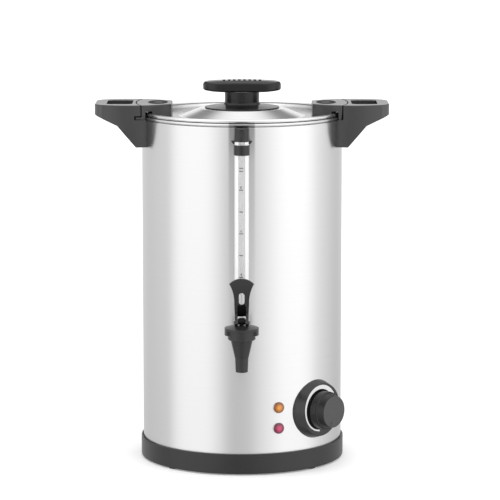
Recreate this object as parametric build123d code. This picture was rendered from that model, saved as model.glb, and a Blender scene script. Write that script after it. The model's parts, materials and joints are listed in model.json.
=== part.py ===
"""Hot water urn for a counter: steel tank, twist-lock lid, level gauge, lever tap and thermostat.

Millimetres, +Z up. The origin is on the urn's axis, in the plane that its feet stand on.
The tap is at the front (-Y), the mains inlet at the rear (+Y), the thermostat at the front right.
Each piece is a solid of its own and is written to parts/NODE.step.
"""

import math
import os

from build123d import *

# ------------------------------------------------------------------ tank and base
BODY_R = 115.0          # outer radius of the steel wall
WALL = 1.0              # sheet thickness of the wall
FOOT_H = 1.5            # the base ring stands this far above the counter
BASE_TOP = 24.4         # top edge of the base ring
BASE_WALL = 2.5         # thickness of the base ring outside the steel wall
BASE_FLANGE = 3.0       # thickness of the base ring's inward flange
BASE_FLANGE_W = 17.5    # reach of that flange, inwards from the outside
BASE_LEDGE_H = 3.0      # the wall's foot stands this far above the flange
BASE_LEDGE_W = 7.0      # width of the ledge under the wall's foot
BASE_ROUND = 1.2        # rounding of the base ring's outer edges
BASE_RELIEF = 0.7       # shadow gap between the base ring's top edge and the wall
BASE_RELIEF_H = 3.0     # depth of that gap
PLATE_T = 0.8           # bottom plate
PLATE_GAP = 0.4         # bottom plate inside the ledge
FOOT_R = 7.0
FOOT_STEM_R = 2.5
FOOT_STEM_H = 2.0
FEET = 4
BASE_SCREW_R = 1.6
BASE_SCREW_HEAD_R = 3.0
BASE_SCREW_HEAD_H = 1.5
BASE_SCREW_TIP = 5.0    # length past the bottom plate
VENTS = 12              # vent slots in the bottom plate
VENT_W = 4.0
VENT_L = 30.0
VENT_R = 70.0           # radius of the vent slots' centres

BEAD_R = 1.8            # middle line of the rolled bead at the top of the wall
BEAD_OUT = 0.9          # the bead stands this far outside the wall
BEAD_Z = 398.0          # height of the bead's centre
JOGGLE_H = 5.0          # the wall steps in below the bead over this height

FLOOR_Z = 131.0         # top face of the tank's floor
FLOOR_T = 1.0
FLOOR_RIM = 8.0         # height of the floor's upturned rim
FLOOR_ROUND = 3.0

HEAT_PLATE_R = 74.0
HEAT_PLATE_T = 5.0
ELEMENT_R = 58.0        # radius of the element's ring
ELEMENT_TUBE = 3.3
ELEMENT_GAP = 36.0      # degrees left open between the element's ends
ELEMENT_LEG = 18.0
ELEMENT_PIN = 1.2
ELEMENT_PIN_L = 7.0
CUTOUT_R = 8.0
CUTOUT_H = 7.0
BULB_R = 3.0
BULB_L = 62.0
BULB_Y = 27.0
CAPILLARY_R = 1.0

# ------------------------------------------------------------------ lid
LID_T = 0.8
LID_GAP = 0.3           # running gap between the lid's rim and the tank's bead
LID_CURL = 1.5          # middle line of the lid's curled rim
LID_RIM_IN = 2.0        # the lid rim's outside, inside the bead's outside
LID_SKIRT_GAP = 1.3     # between the lid's skirt and the bead's inside
LID_PAN = 7.2           # depth of the flat annulus below the rim's top
CONE_FOOT_R = 71.2
CONE_TOP_R = 48.2
CONE_H = 8.7

KNOB_DISC_R = 42.8
KNOB_DISC_EDGE = 1.2
KNOB_DISC_RISE = 4.0
STEM_R = 19.2
STEM_FLARE = 3.0
GRIP_Z = 19.0           # underside of the grip above the lid's top face
GRIP_L = 89.6
GRIP_W = 38.0
GRIP_H = 15.0
GRIP_CROWN = 2.6        # the grip's top falls by this much towards its ends
GRIP_BELLY = 1.6        # and its underside rises by this much
GRIP_ROUND = 3.4
GRIP_PARTING = 4.2      # parting line above the grip's underside
GRIP_PARTING_W = 0.5
GRIP_SLOTS = 8
GRIP_SLOT_PITCH = 5.9
GRIP_SLOT_W = 2.6
GRIP_SLOT_L = 13.0
GRIP_SLOT_DEEP = 3.0
KNOB_SCREW_R = 3.0
KNOB_SCREW_HEAD_R = 6.0
KNOB_SCREW_HEAD_H = 3.2
KNOB_SCREW_L = 24.0
KNOB_WASHER_R = 12.0
KNOB_WASHER_T = 1.5

# ------------------------------------------------------------------ handles and lid ears
HANDLE_TOP = 412.1
HANDLE_REACH = 53.2     # outer end of each handle from the wall
HANDLE_END_H = 11.8     # height of the handle's outer end face
HANDLE_KINK_OUT = 26.7  # kink of the underside from the wall
HANDLE_KINK_Z = 388.6
HANDLE_FOOT_OUT = 5.6   # outer edge of the handle's foot from the wall
HANDLE_FOOT_Z = 364.1
PLAN_HALF = 42.0        # half width of handle and ear at the seam
PLAN_END = 30.0         # half width at the handle's outer end
PLAN_EAR = 22.0         # half width at the ear's inner end
PLAN_ROUND = 9.0
EAR_L = 41.8            # length of the ear inwards from the seam
EAR_CORNER = 3.0        # rounding of the ear's inner corners
SEAM_OUT = 7.2          # inner face of the handle beside the ear, from the wall
SEAM_GAP = 0.7
EAR_WALL_GAP = 0.7      # between the bead's outside and the ear's outer wall
EAR_FOOT_Z = 395.9      # underside of the ear's outer wall
EAR_RELIEF_TOP = 0.6    # clearance over the lid's rim inside the ear
TONGUE_OUT = 6.0        # the locking tongue reaches this far out of the ear
TONGUE_T = 2.2
TONGUE_UP = 0.3         # tongue above the foot of the ear's wall
TONGUE_END = 0.6        # between the tongue's end and the groove's stop
GROOVE_OUT = 7.0        # depth of the groove beyond the seam
GROOVE_FLOOR = 395.4
GROOVE_TOP = 399.9
GROOVE_FROM = 27.0      # the groove runs from here to the open side
SLOT_WALL = 3.7         # handle left between the seam and the finger slot
SLOT_W = 28.8           # finger slot
SLOT_HALF = 24.0
SLOT_ROUND = 7.0
HANDLE_EDGE = 1.1       # rounding of the handle's and ear's upper edges
DISH_IN = 25.7          # middle of the ear's finger dish, inwards from the seam
DISH_RX = 11.5
DISH_RY = 24.0
DISH_DEEP = 5.0
MARK_R = 0.9            # lock mark in the left ear
MARK_IN = 1.3           # from the ear's outer wall to the mark
MARK_Y = 4.6
HANDLE_SCREW_R = 2.5
HANDLE_SCREW_HEAD_R = 4.8
HANDLE_SCREW_HEAD_H = 2.6
HANDLE_SCREW_L = 14.0
HANDLE_SCREW_Z = 377.0
HANDLE_SCREW_AZ = 10.0  # degrees each side of the handle's middle
HANDLE_WASHER_R = 6.5
HANDLE_WASHER_T = 1.5
EAR_SCREW_R = 1.8
EAR_SCREW_HEAD_R = 3.6
EAR_SCREW_HEAD_H = 2.0
EAR_SCREW_L = 10.0
EAR_SCREW_IN = 9.6      # ear's screws from its inner end
EAR_SCREW_Y = 12.0

# ------------------------------------------------------------------ level gauge
GAUGE_COVER_R = 8.5
GAUGE_COVER_T = 1.1
GAUGE_STANDOFF = 1.5    # between the cover and the wall
GAUGE_TUBE_R = 5.0
GAUGE_TUBE_BORE = 3.5
GAUGE_TUBE_END = 1.0    # the tube's foot below its seal
HOLDER_TOP = 395.2
HOLDER_LIP = 380.3      # lower edge of the holder
HOLDER_R = 8.6
HOLDER_ROUND = 1.5
HOLDER_WING = 11.9      # half width of the holder's wings
HOLDER_WING_H = 5.0
HOLDER_WING_EDGE = 0.8
HOLDER_WING_T = 5.0
HOLDER_SOCKET = 2.5     # the cover enters the holder this far
HOLDER_CAP = 4.0        # holder above the end of the tube
HOLDER_GROOVE_H = 9.0
HOLDER_GROOVE_LOW = 3.5
HOLDER_GROOVE_DEEP = 0.6
HOLDER_GROOVE_W = 2.4
GAUGE_VENT_R = 1.2
COLLAR_TOP = 376.5
COLLAR_FOOT = 365.2
COLLAR_T = 0.8
GAUGE_SCREW_R = 1.8
GAUGE_SCREW_L = 6.5
GAUGE_SCREW_HEAD_R = 3.4
GAUGE_SCREW_HEAD_H = 2.0
GAUGE_WASHER_R = 4.5
GAUGE_WASHER_T = 1.0
GAUGE_NUT_R = 9.1
GAUGE_NUT_H = 5.0
GAUGE_NUT_GAP = 0.4     # between the nut's cap and the tube
GAUGE_NUT_CAP = 2.0
GAUGE_SEAL_H = 8.0
GAUGE_BOSS_IN = 0.6     # the boss is this much slimmer than the cover
GAUGE_SEAL_IN = 1.6     # and its socket this much

# ------------------------------------------------------------------ tap
TAP_OUT = 39.0          # tap's axis from the wall
BONNET_TOP = 179.0
BONNET_R = 19.0
BONNET_FLAT_R = 9.5
BONNET_SHOULDER = 2.5   # fall from the flat to the rim
BONNET_H = 10.5
BONNET_PLATE = 4.5
BONNET_SKIRT_R = 16.6
BONNET_RIM_H = 2.6
BONNET_WING = 30.0      # half angle of each grip wing, degrees
THREAD_R = 13.5
COLLAR_R = 15.4
COLLAR_H = 5.6
COLLAR_EDGE = 1.0
LUG_W = 3.2             # assembly lug at the front of the collar
LUG_OUT = 0.8
CONE_TOP = 12.4
CONE_FOOT = 7.5
CONE_LEN = 20.9
SPOUT_END_R = 6.8
SPOUT_END_Z = 126.5
SPOUT_BORE = 5.2
SPOUT_ROUND = 0.7
CHAMBER_R = 10.5
CHAMBER_WALL = 1.9      # wall of the cone beside the chamber
SEAT_Z = 155.0
SEAT_RING = 1.7         # width of the seat around the spout's bore
SEAT_LIP = 0.8
SHANK_Z = 158.5
SHANK_R = 7.5
SHANK_BORE = 4.8
SHANK_STOP = 1.0        # end of the shank behind the chamber
SHANK_IN = 18.0         # shank's reach inside the wall
SHANK_NECK_R = 9.3
SHANK_NECK_L = 7.0
FLANGE_R = 11.0
FLANGE_T = 3.0
WASHER_T = 2.0
NUT_AF = 24.0
NUT_T = 7.0
BOSS_TOP = 175.5        # gauge boss on the shank

TAP_STEM_R = 2.5
STEM_CLEAR = 0.05
CUP_R = 7.9
CUP_H = 11.0
CUP_GRIP = 8.0          # length of the stem inside the cup
CUP_GAP = 0.3
HEAD_R = 3.4
HEAD_W = 7.0
PIN_R = 1.2
PIN_L = 19.0
PIN_CLEAR = 0.05
PIN_Z = 183.8
SPRING_R = 6.4
SPRING_WIRE = 0.6       # radius of the wire
SPRING_LAND = 1.0       # seat around the spring's middle line
SPRING_TURNS = 3

LEVER_TOP = 231.1
LEVER_CORNER = 225.3
LEVER_FAN = 13.6
LEVER_MID_W = 9.6
LEVER_MID_Z = 215.5
LEVER_WAIST = 8.2
LEVER_WAIST_Z = 203.0
LEVER_LEG = 7.75
LEVER_T = 3.5
FORK_HALF = 4.45
FORK_TOP = 3.9          # roof of the fork above the pin
LEVER_HIPS = 9.0        # the legs part from the blade at this height above the pin
LEVER_SHIN = 5.2        # front of the legs, before the pin
LEVER_KNEE = 3.0        # height at which the foot's curve ends
LEVER_HEEL = 4.1        # back of the legs, behind the pin
LEVER_LEAN = 10.6       # the blade leans this far forward of the pin
LEVER_FRONT = ((0.14, 0.3), (0.275, 0.415), (0.51, 0.81), (0.76, 1.0), (1.0, 0.98))   # shares: height, lean
LEVER_BACK = ((1.0, 0.98), (0.76, 1.0), (0.51, 0.775), (0.315, 0.46), (0.18, 0.0))
FOOT_GAP = 0.3          # between the lever's foot and the bonnet
LIFT_PER_RAD = 3.5      # stem lift for each radian of lever tilt
LEVER_MAX = 55.0        # degrees
WINDOW_HALF = 3.1
WINDOW_LOW = 202.2
WINDOW_HIGH = 215.2

# ------------------------------------------------------------------ thermostat and lamps
DIAL_AZ = 47.0          # degrees to the right of the front
DIAL_Z = 69.4
BEZEL_R = 33.6
BEZEL_FACE_R = 30.2
BEZEL_FACE = 9.7        # face of the bezel above the wall
BEZEL_T = 2.5
BEZEL_BOSS_R = 5.0
SCALE_OUT = 28.7
SCALE_IN_START = 26.6
SCALE_IN_END = 22.8
SCALE_T = 0.4
SCALE_SWEEP = 262.0     # degrees
DIAL_SCREW_R = 1.5
DIAL_SCREW_HEAD_R = 2.8
DIAL_SCREW_HEAD_H = 1.8
DIAL_SCREW_PITCH = 28.0
KNOB_GAP = 0.8          # between bezel face and knob skirt
KNOB_SKIRT_R = 21.6
KNOB_SKIRT_H = 4.0
KNOB_FOOT_R = 20.0
KNOB_FACE_R = 18.2
KNOB_H = 18.0
KNOB_EDGE = 1.8
KNOB_WALL = 2.4
KNOB_HUB_R = 5.5
POINTER_L = 5.0
POINTER_W = 2.0
POINTER_H = 0.8
POINTER_AZ = 20.0       # pointer at rest, degrees clockwise of straight down
SHAFT_R = 3.0
SHAFT_CLEAR = 0.05
SHAFT_IN = 12.0
REGULATOR_W = 34.0
REGULATOR_H = 40.0
REGULATOR_D = 24.0
REGULATOR_GAP = 3.0     # front of the regulator behind the wall
SPACER_R = 3.5

LAMP_AZ = 21.0
LAMP_AMBER_Z = 76.6
LAMP_RED_Z = 52.8
LAMP_LENS_R = 6.0
LAMP_LENS_H = 3.6
LAMP_BEZEL_R = 6.9
LAMP_BEZEL_H = 1.2
LAMP_BODY_R = 5.0
LAMP_BODY_L = 22.0

# ------------------------------------------------------------------ mains side
INLET_Z = 52.0
INLET_W = 27.5
INLET_H = 20.0
INLET_FACE_W = 49.5
INLET_FACE_H = 22.5
INLET_FACE_T = 3.0
INLET_DEEP = 24.0
INLET_PITCH = 40.0
INLET_WALL = 1.6
INLET_CAVITY = 15.0
PAD_EDGE = 2.5
PAD_OUT = 1.5           # the pad's thinnest place
INLET_SCREW_R = 1.5
INLET_SCREW_HEAD_R = 2.9
INLET_SCREW_HEAD_H = 1.6
INLET_SCREW_L = 11.0
TERMINAL_X = -45.0
TERMINAL_Y = 40.0
BLOCK_L = 34.0
BLOCK_W = 17.0
BLOCK_H = 13.0
EARTH_R = 2.0
EARTH_L = 14.0
EARTH_X = 45.0
EARTH_Y = 45.0

# ------------------------------------------------------------------ worked-out places
BASE_R = BODY_R + BASE_WALL
FLANGE_TOP = FOOT_H + BASE_FLANGE
WALL_FOOT = FLANGE_TOP + BASE_LEDGE_H
LEDGE_R = BODY_R - BASE_LEDGE_W
INNER_R = BODY_R - WALL
BEAD_TUBE = BEAD_R + WALL / 2
BEAD_C = BODY_R + BEAD_OUT - BEAD_TUBE
BEAD_TOP = BEAD_Z + BEAD_TUBE
RIM_TUBE = LID_CURL + LID_T / 2
RIM_R = BODY_R + BEAD_OUT - LID_RIM_IN / 2 - RIM_TUBE
RIM_Z = BEAD_TOP + LID_GAP + RIM_TUBE
RIM_TOP = RIM_Z + RIM_TUBE
PAN_TOP = RIM_TOP - LID_PAN
SKIRT_R = BEAD_C - BEAD_TUBE - LID_SKIRT_GAP
LID_TOP = PAN_TOP + CONE_H
GRIP_FOOT = LID_TOP + GRIP_Z
FLOOR_BACK = FLOOR_Z - FLOOR_T
PLATE_BACK = FLOOR_BACK - HEAT_PLATE_T
SEAM_R = BODY_R + SEAM_OUT
HANDLE_OUT = BODY_R + HANDLE_REACH
EAR_OUT = SEAM_R - SEAM_GAP
EAR_IN = SEAM_R - EAR_L
EAR_SCREW_X = EAR_IN + EAR_SCREW_IN
EAR_WALL_IN = BODY_R + BEAD_OUT + EAR_WALL_GAP
GAUGE_Y = -(BODY_R + GAUGE_STANDOFF + GAUGE_COVER_R)
GAUGE_SCREW_Z = BEAD_Z - JOGGLE_H - GAUGE_WASHER_R - 0.8
TAP_Y = -(BODY_R + TAP_OUT)
BONNET_FOOT = BONNET_TOP - BONNET_H
CHAMBER_TOP = BONNET_TOP - BONNET_PLATE
CONE_TOP_Z = BONNET_FOOT - COLLAR_H
FOOT_DROP = PIN_Z - BONNET_TOP - FOOT_GAP

PARTS = {}


def keep(node, *solids):
    """Stores one node's solid, or a group of separate solids."""
    PARTS[node] = solids[0] if len(solids) == 1 else Compound(children=list(solids))


def turned(*outline):
    """Solid turned about Z from (radius, height) points."""
    return revolve(Plane.XZ * make_face(Polyline(*outline, close=True)), Axis.Z)


def rod(radius, length, low=0.0):
    """Cylinder on Z that starts at the height low."""
    return Pos(0, 0, low) * Cylinder(radius, length, align=(Align.CENTER, Align.CENTER, Align.MIN))


def ring(outer, inner, length, low=0.0):
    return rod(outer, length, low) - rod(inner, length + 2, low - 1)


def block(width, depth, height, low=0.0):
    """Box centred in X and Y that starts at the height low."""
    return Pos(0, 0, low) * Box(width, depth, height, align=(Align.CENTER, Align.CENTER, Align.MIN))


def sheet(path, thickness):
    """Closed section of sheet metal around its middle line."""
    return Face(Wire(path.edges()).offset_2d(thickness / 2, side=Side.BOTH, closed=True))


def out_of_wall(azimuth, height, radius=BODY_R):
    """Place on the wall: Z points straight out of it, X to the right along it, Y up."""
    angle = math.radians(azimuth)
    outward = Vector(math.sin(angle), -math.cos(angle), 0)
    along = Vector(math.cos(angle), math.sin(angle), 0)
    return Location(Plane(origin=outward * radius + Vector(0, 0, height), x_dir=along, z_dir=outward))


def hexagon(across_flats, length):
    return extrude(RegularPolygon(across_flats / 2, 6, major_radius=False), length)


def screw(shank_r, length, head_r, head_h):
    """Pan-head screw: the head's seat is at Z = 0, the shank goes down, and the recess is a cross."""
    head = rod(head_r, head_h)
    head = fillet(head.edges().group_by(Axis.Z)[-1], head_h * 0.45)
    cross = block(head_r * 1.1, head_r * 0.26, head_h, head_h * 0.45)
    return head + rod(shank_r, length, -length) - cross - Rot(0, 0, 90) * cross


def wall_solid(radius=BODY_R):
    return rod(radius, HANDLE_TOP + 1)


# ------------------------------------------------------------------ tank
HANDLE_AZIMUTHS = {"left": -90.0, "right": 90.0}
HANDLE_SCREW_AZIMUTHS = [az + side * HANDLE_SCREW_AZ for az in HANDLE_AZIMUTHS.values() for side in (-1, 1)]
LAMPS = {"amber": LAMP_AMBER_Z, "red": LAMP_RED_Z}


def tank_wall():
    middle = BODY_R - WALL / 2
    neck = BEAD_C - BEAD_R
    rise = FilletPolyline((middle, WALL_FOOT + WALL / 2), (middle, BEAD_Z - JOGGLE_H),
                          (neck, BEAD_Z - JOGGLE_H / 2), (neck, BEAD_Z), radius=2.0)
    bead = CenterArc((BEAD_C, BEAD_Z), BEAD_R, 180, -270)
    wall = revolve(Plane.XZ * sheet(Curve() + rise + bead, WALL), Axis.Z)
    drill = 3 * WALL
    wall -= out_of_wall(0, SHANK_Z) * rod(SHANK_R + 0.3, 2 * drill, -drill)
    wall -= out_of_wall(0, GAUGE_SCREW_Z) * rod(GAUGE_SCREW_R + 0.2, 2 * drill, -drill)
    wall -= out_of_wall(DIAL_AZ, DIAL_Z) * rod(SHAFT_R + 2.0, 2 * drill, -drill)
    for side in (-1, 1):
        place = out_of_wall(DIAL_AZ, DIAL_Z + side * DIAL_SCREW_PITCH / 2)
        wall -= place * rod(DIAL_SCREW_R + 0.2, 2 * drill, -drill)
        place = out_of_wall(180, INLET_Z) * Pos(side * INLET_PITCH / 2, 0, 0)
        wall -= place * rod(INLET_SCREW_R + 0.2, 4 * drill, -2 * drill)
    for height in LAMPS.values():
        wall -= out_of_wall(LAMP_AZ, height) * rod(LAMP_BODY_R, 2 * drill, -drill)
    for azimuth in HANDLE_SCREW_AZIMUTHS:
        wall -= out_of_wall(azimuth, HANDLE_SCREW_Z) * rod(HANDLE_SCREW_R + 0.2, 2 * drill, -drill)
    wall -= out_of_wall(180, INLET_Z) * block(INLET_W, INLET_H, 4 * drill, -2 * drill)
    return wall


def tank_floor():
    pan = rod(INNER_R, FLOOR_T + FLOOR_RIM, FLOOR_BACK)
    pan = fillet(pan.edges().group_by(Axis.Z)[0], FLOOR_ROUND + FLOOR_T)
    hollow = rod(INNER_R - FLOOR_T, FLOOR_RIM + 1, FLOOR_Z)
    hollow = fillet(hollow.edges().group_by(Axis.Z)[0], FLOOR_ROUND)
    return pan - hollow


# ------------------------------------------------------------------ heating
def element():
    """Sheathed element: an open ring under the floor with both ends turned down."""
    z = PLATE_BACK - ELEMENT_TUBE * 0.6
    sweep = 360 - ELEMENT_GAP
    section = Plane.XZ * (Pos(ELEMENT_R, z) * Circle(ELEMENT_TUBE))
    tube = Rot(0, 0, 90 + ELEMENT_GAP / 2) * revolve(section, Axis.Z, sweep)
    for side in (-1, 1):
        angle = math.radians(90 + side * ELEMENT_GAP / 2)
        place = Pos(ELEMENT_R * math.cos(angle), ELEMENT_R * math.sin(angle), z)
        tube += place * Sphere(ELEMENT_TUBE)
        tube += place * rod(ELEMENT_TUBE, ELEMENT_LEG, -ELEMENT_LEG)
        tube += place * rod(ELEMENT_PIN, ELEMENT_PIN_L, -ELEMENT_LEG - ELEMENT_PIN_L)
    return tube


def capillary():
    """Thermostat bulb under the floor and the thin tube that joins it to the regulator."""
    z = PLATE_BACK - BULB_R * 0.5
    bulb = Pos(0, BULB_Y, z) * Rot(0, 90, 0) * Cylinder(BULB_R, BULB_L)
    bulb = fillet(bulb.edges(), BULB_R * 0.6)
    back = out_of_wall(DIAL_AZ, DIAL_Z) * Pos(0, REGULATOR_H / 4, -WALL - REGULATOR_GAP - REGULATOR_D)
    end = back.position
    toward = (back * Pos(0, 0, -14)).position
    start = Vector(BULB_L / 2, BULB_Y, z)
    bend = start + Vector(20, -16, -16)
    path = FilletPolyline(start, start + Vector(14, 0, 0), bend, toward, end, radius=5.0)
    tube = sweep(Plane(origin=path @ 0, z_dir=path % 0) * Circle(CAPILLARY_R), path=path)
    return bulb, tube


def heating():
    tube = element()
    bulb, line = capillary()
    plate = rod(HEAT_PLATE_R, HEAT_PLATE_T, PLATE_BACK) - tube - bulb
    cutout = rod(CUTOUT_R, CUTOUT_H, PLATE_BACK - CUTOUT_H)
    for side in (-1, 1):
        cutout += Pos(side * 4.0, 0, 0) * block(0.8, 6.3, 8.0, PLATE_BACK - CUTOUT_H - 8.0)
    keep("heat_plate", plate)
    keep("heating_element", tube)
    keep("dry_boil_cutout", cutout)
    keep("thermostat_capillary", bulb + line)


# ------------------------------------------------------------------ base
def around(radius, count, first=45.0):
    return [Rot(0, 0, first + 360 / count * i) * Pos(radius, 0, 0) for i in range(count)]


def base():
    flange_r = BASE_R - BASE_FLANGE_W
    gap_r = BODY_R + BASE_RELIEF
    gap_foot = BASE_TOP - BASE_RELIEF_H
    ring_body = turned((flange_r, FOOT_H), (BASE_R, FOOT_H), (BASE_R, BASE_TOP), (gap_r, BASE_TOP),
                       (gap_r, gap_foot), (BODY_R, gap_foot), (BODY_R, WALL_FOOT), (LEDGE_R, WALL_FOOT),
                       (LEDGE_R, FLANGE_TOP), (flange_r, FLANGE_TOP))
    outside = ring_body.faces().filter_by(GeomType.CYLINDER).sort_by(SortBy.RADIUS)[-1]
    ring_body = fillet(outside.edges().filter_by(GeomType.CIRCLE), BASE_ROUND)
    foot_places = around(BASE_R - 9.0, FEET)
    screw_places = around((flange_r + LEDGE_R) / 2, FEET, 0.0)
    plate = rod(LEDGE_R - PLATE_GAP, PLATE_T, FLANGE_TOP)
    vent = extrude(SlotOverall(VENT_L, VENT_W), PLATE_T + 2)
    for place in around(VENT_R, VENTS, 360 / VENTS / 2):
        plate -= place * Pos(0, 0, FLANGE_TOP - 1) * vent
    feet = []
    screws = []
    for place in foot_places:
        ring_body -= place * rod(FOOT_STEM_R, FOOT_STEM_H, FOOT_H)
        pad = fillet(rod(FOOT_R, FOOT_H).edges().group_by(Axis.Z)[0], 0.5)
        feet.append(place * (pad + rod(FOOT_STEM_R, FOOT_STEM_H, FOOT_H)))
    for place in screw_places:
        seat = FOOT_H + BASE_SCREW_HEAD_H
        ring_body -= place * rod(BASE_SCREW_HEAD_R + 0.2, BASE_SCREW_HEAD_H, FOOT_H)
        ring_body -= place * rod(BASE_SCREW_R, BASE_FLANGE, FOOT_H)
        plate -= place * rod(BASE_SCREW_R, PLATE_T, FLANGE_TOP)
        length = BASE_FLANGE - BASE_SCREW_HEAD_H + PLATE_T + BASE_SCREW_TIP
        body = screw(BASE_SCREW_R, length, BASE_SCREW_HEAD_R, BASE_SCREW_HEAD_H)
        screws.append(place * Pos(0, 0, seat) * Rot(180, 0, 0) * body)
    keep("base_ring", ring_body)
    keep("bottom_plate", plate)
    keep("feet", *feet)
    keep("base_screws", *screws)


# ------------------------------------------------------------------ lid
def lid_cover():
    drop_z = PAN_TOP - LID_T / 2
    top_z = LID_TOP - LID_T / 2
    curl = CenterArc((RIM_R, RIM_Z), LID_CURL, -90, 270)
    skirt_mid = SKIRT_R - LID_T / 2
    pan = FilletPolyline((RIM_R - LID_CURL, RIM_Z), (RIM_R - LID_CURL, RIM_Z - 1.2), (skirt_mid, RIM_Z - 2.6),
                         (skirt_mid, drop_z), (CONE_FOOT_R, drop_z), (CONE_TOP_R, top_z),
                         (KNOB_SCREW_R + 0.2 + LID_T / 2, top_z), radius=0.7)
    cover = revolve(Plane.XZ * sheet(Curve() + curl + pan, LID_T), Axis.Z)
    for place in ear_screw_places():
        cover -= place * rod(EAR_SCREW_R + 0.1, 4, drop_z - 2)
    return cover


def ear_screw_places():
    return [Pos(side * EAR_SCREW_X, way * EAR_SCREW_Y, 0) for side in (-1, 1) for way in (-1, 1)]


def plan_outline(inner, outer):
    """Outline seen from above of the right handle with its ear: two bowed sides, widest at the seam."""
    front = ThreePointArc((inner, -PLAN_EAR), (SEAM_R, -PLAN_HALF), (outer, -PLAN_END))
    rear = ThreePointArc((outer, PLAN_END), (SEAM_R, PLAN_HALF), (inner, PLAN_EAR))
    ends = Line(front @ 1, rear @ 0) + Line(rear @ 1, front @ 0)
    return make_face(Curve() + front + rear + ends)


def open_side(start):
    """Half space beside the right handle from Y = start, where the tongue enters the groove."""
    reach = (HANDLE_OUT, PLAN_HALF, 2 * HANDLE_TOP + 2)
    return Pos(SEAM_R, start, 0) * Box(*reach, align=(Align.CENTER, Align.MIN, Align.CENTER))


def ear_solid():
    """Right-hand lid ear: a block over the rim, an outer wall outside it and a locking tongue."""
    outline = plan_outline(EAR_IN, HANDLE_OUT)
    body = Pos(0, 0, EAR_FOOT_Z) * extrude(outline, HANDLE_TOP - EAR_FOOT_Z)
    ends = body.edges().filter_by(Axis.Z).group_by(Axis.X)[0]
    body = fillet(ends, EAR_CORNER)
    body &= rod(EAR_OUT, HANDLE_TOP + 1)
    body = fillet(body.edges().group_by(Axis.Z)[-1], HANDLE_EDGE)
    body -= ring(EAR_WALL_IN, 1.0, RIM_TOP + EAR_RELIEF_TOP - EAR_FOOT_Z + 1, EAR_FOOT_Z - 1)
    inner = Pos(0, 0, PAN_TOP) * extrude(outline, RIM_TOP + EAR_RELIEF_TOP - PAN_TOP)
    inner = fillet(inner.edges().filter_by(Axis.Z).group_by(Axis.X)[0], EAR_CORNER)
    inner &= rod(SKIRT_R - LID_T - 1.0, HANDLE_TOP)
    body += inner
    tongue = Pos(0, 0, EAR_FOOT_Z + TONGUE_UP) * extrude(outline, TONGUE_T)
    tongue &= ring(EAR_OUT + TONGUE_OUT, EAR_OUT - 1.0, HANDLE_TOP)
    body += tongue & open_side(GROOVE_FROM + TONGUE_END)
    dish = Pos(SEAM_R - DISH_IN, 0, HANDLE_TOP) * scale(Sphere(1.0), by=(DISH_RX, DISH_RY, DISH_DEEP))
    body -= dish
    for side in (-1, 1):
        body -= Pos(EAR_SCREW_X, side * EAR_SCREW_Y, 0) * rod(EAR_SCREW_R, EAR_SCREW_L - LID_T, PAN_TOP)
    return body


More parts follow.
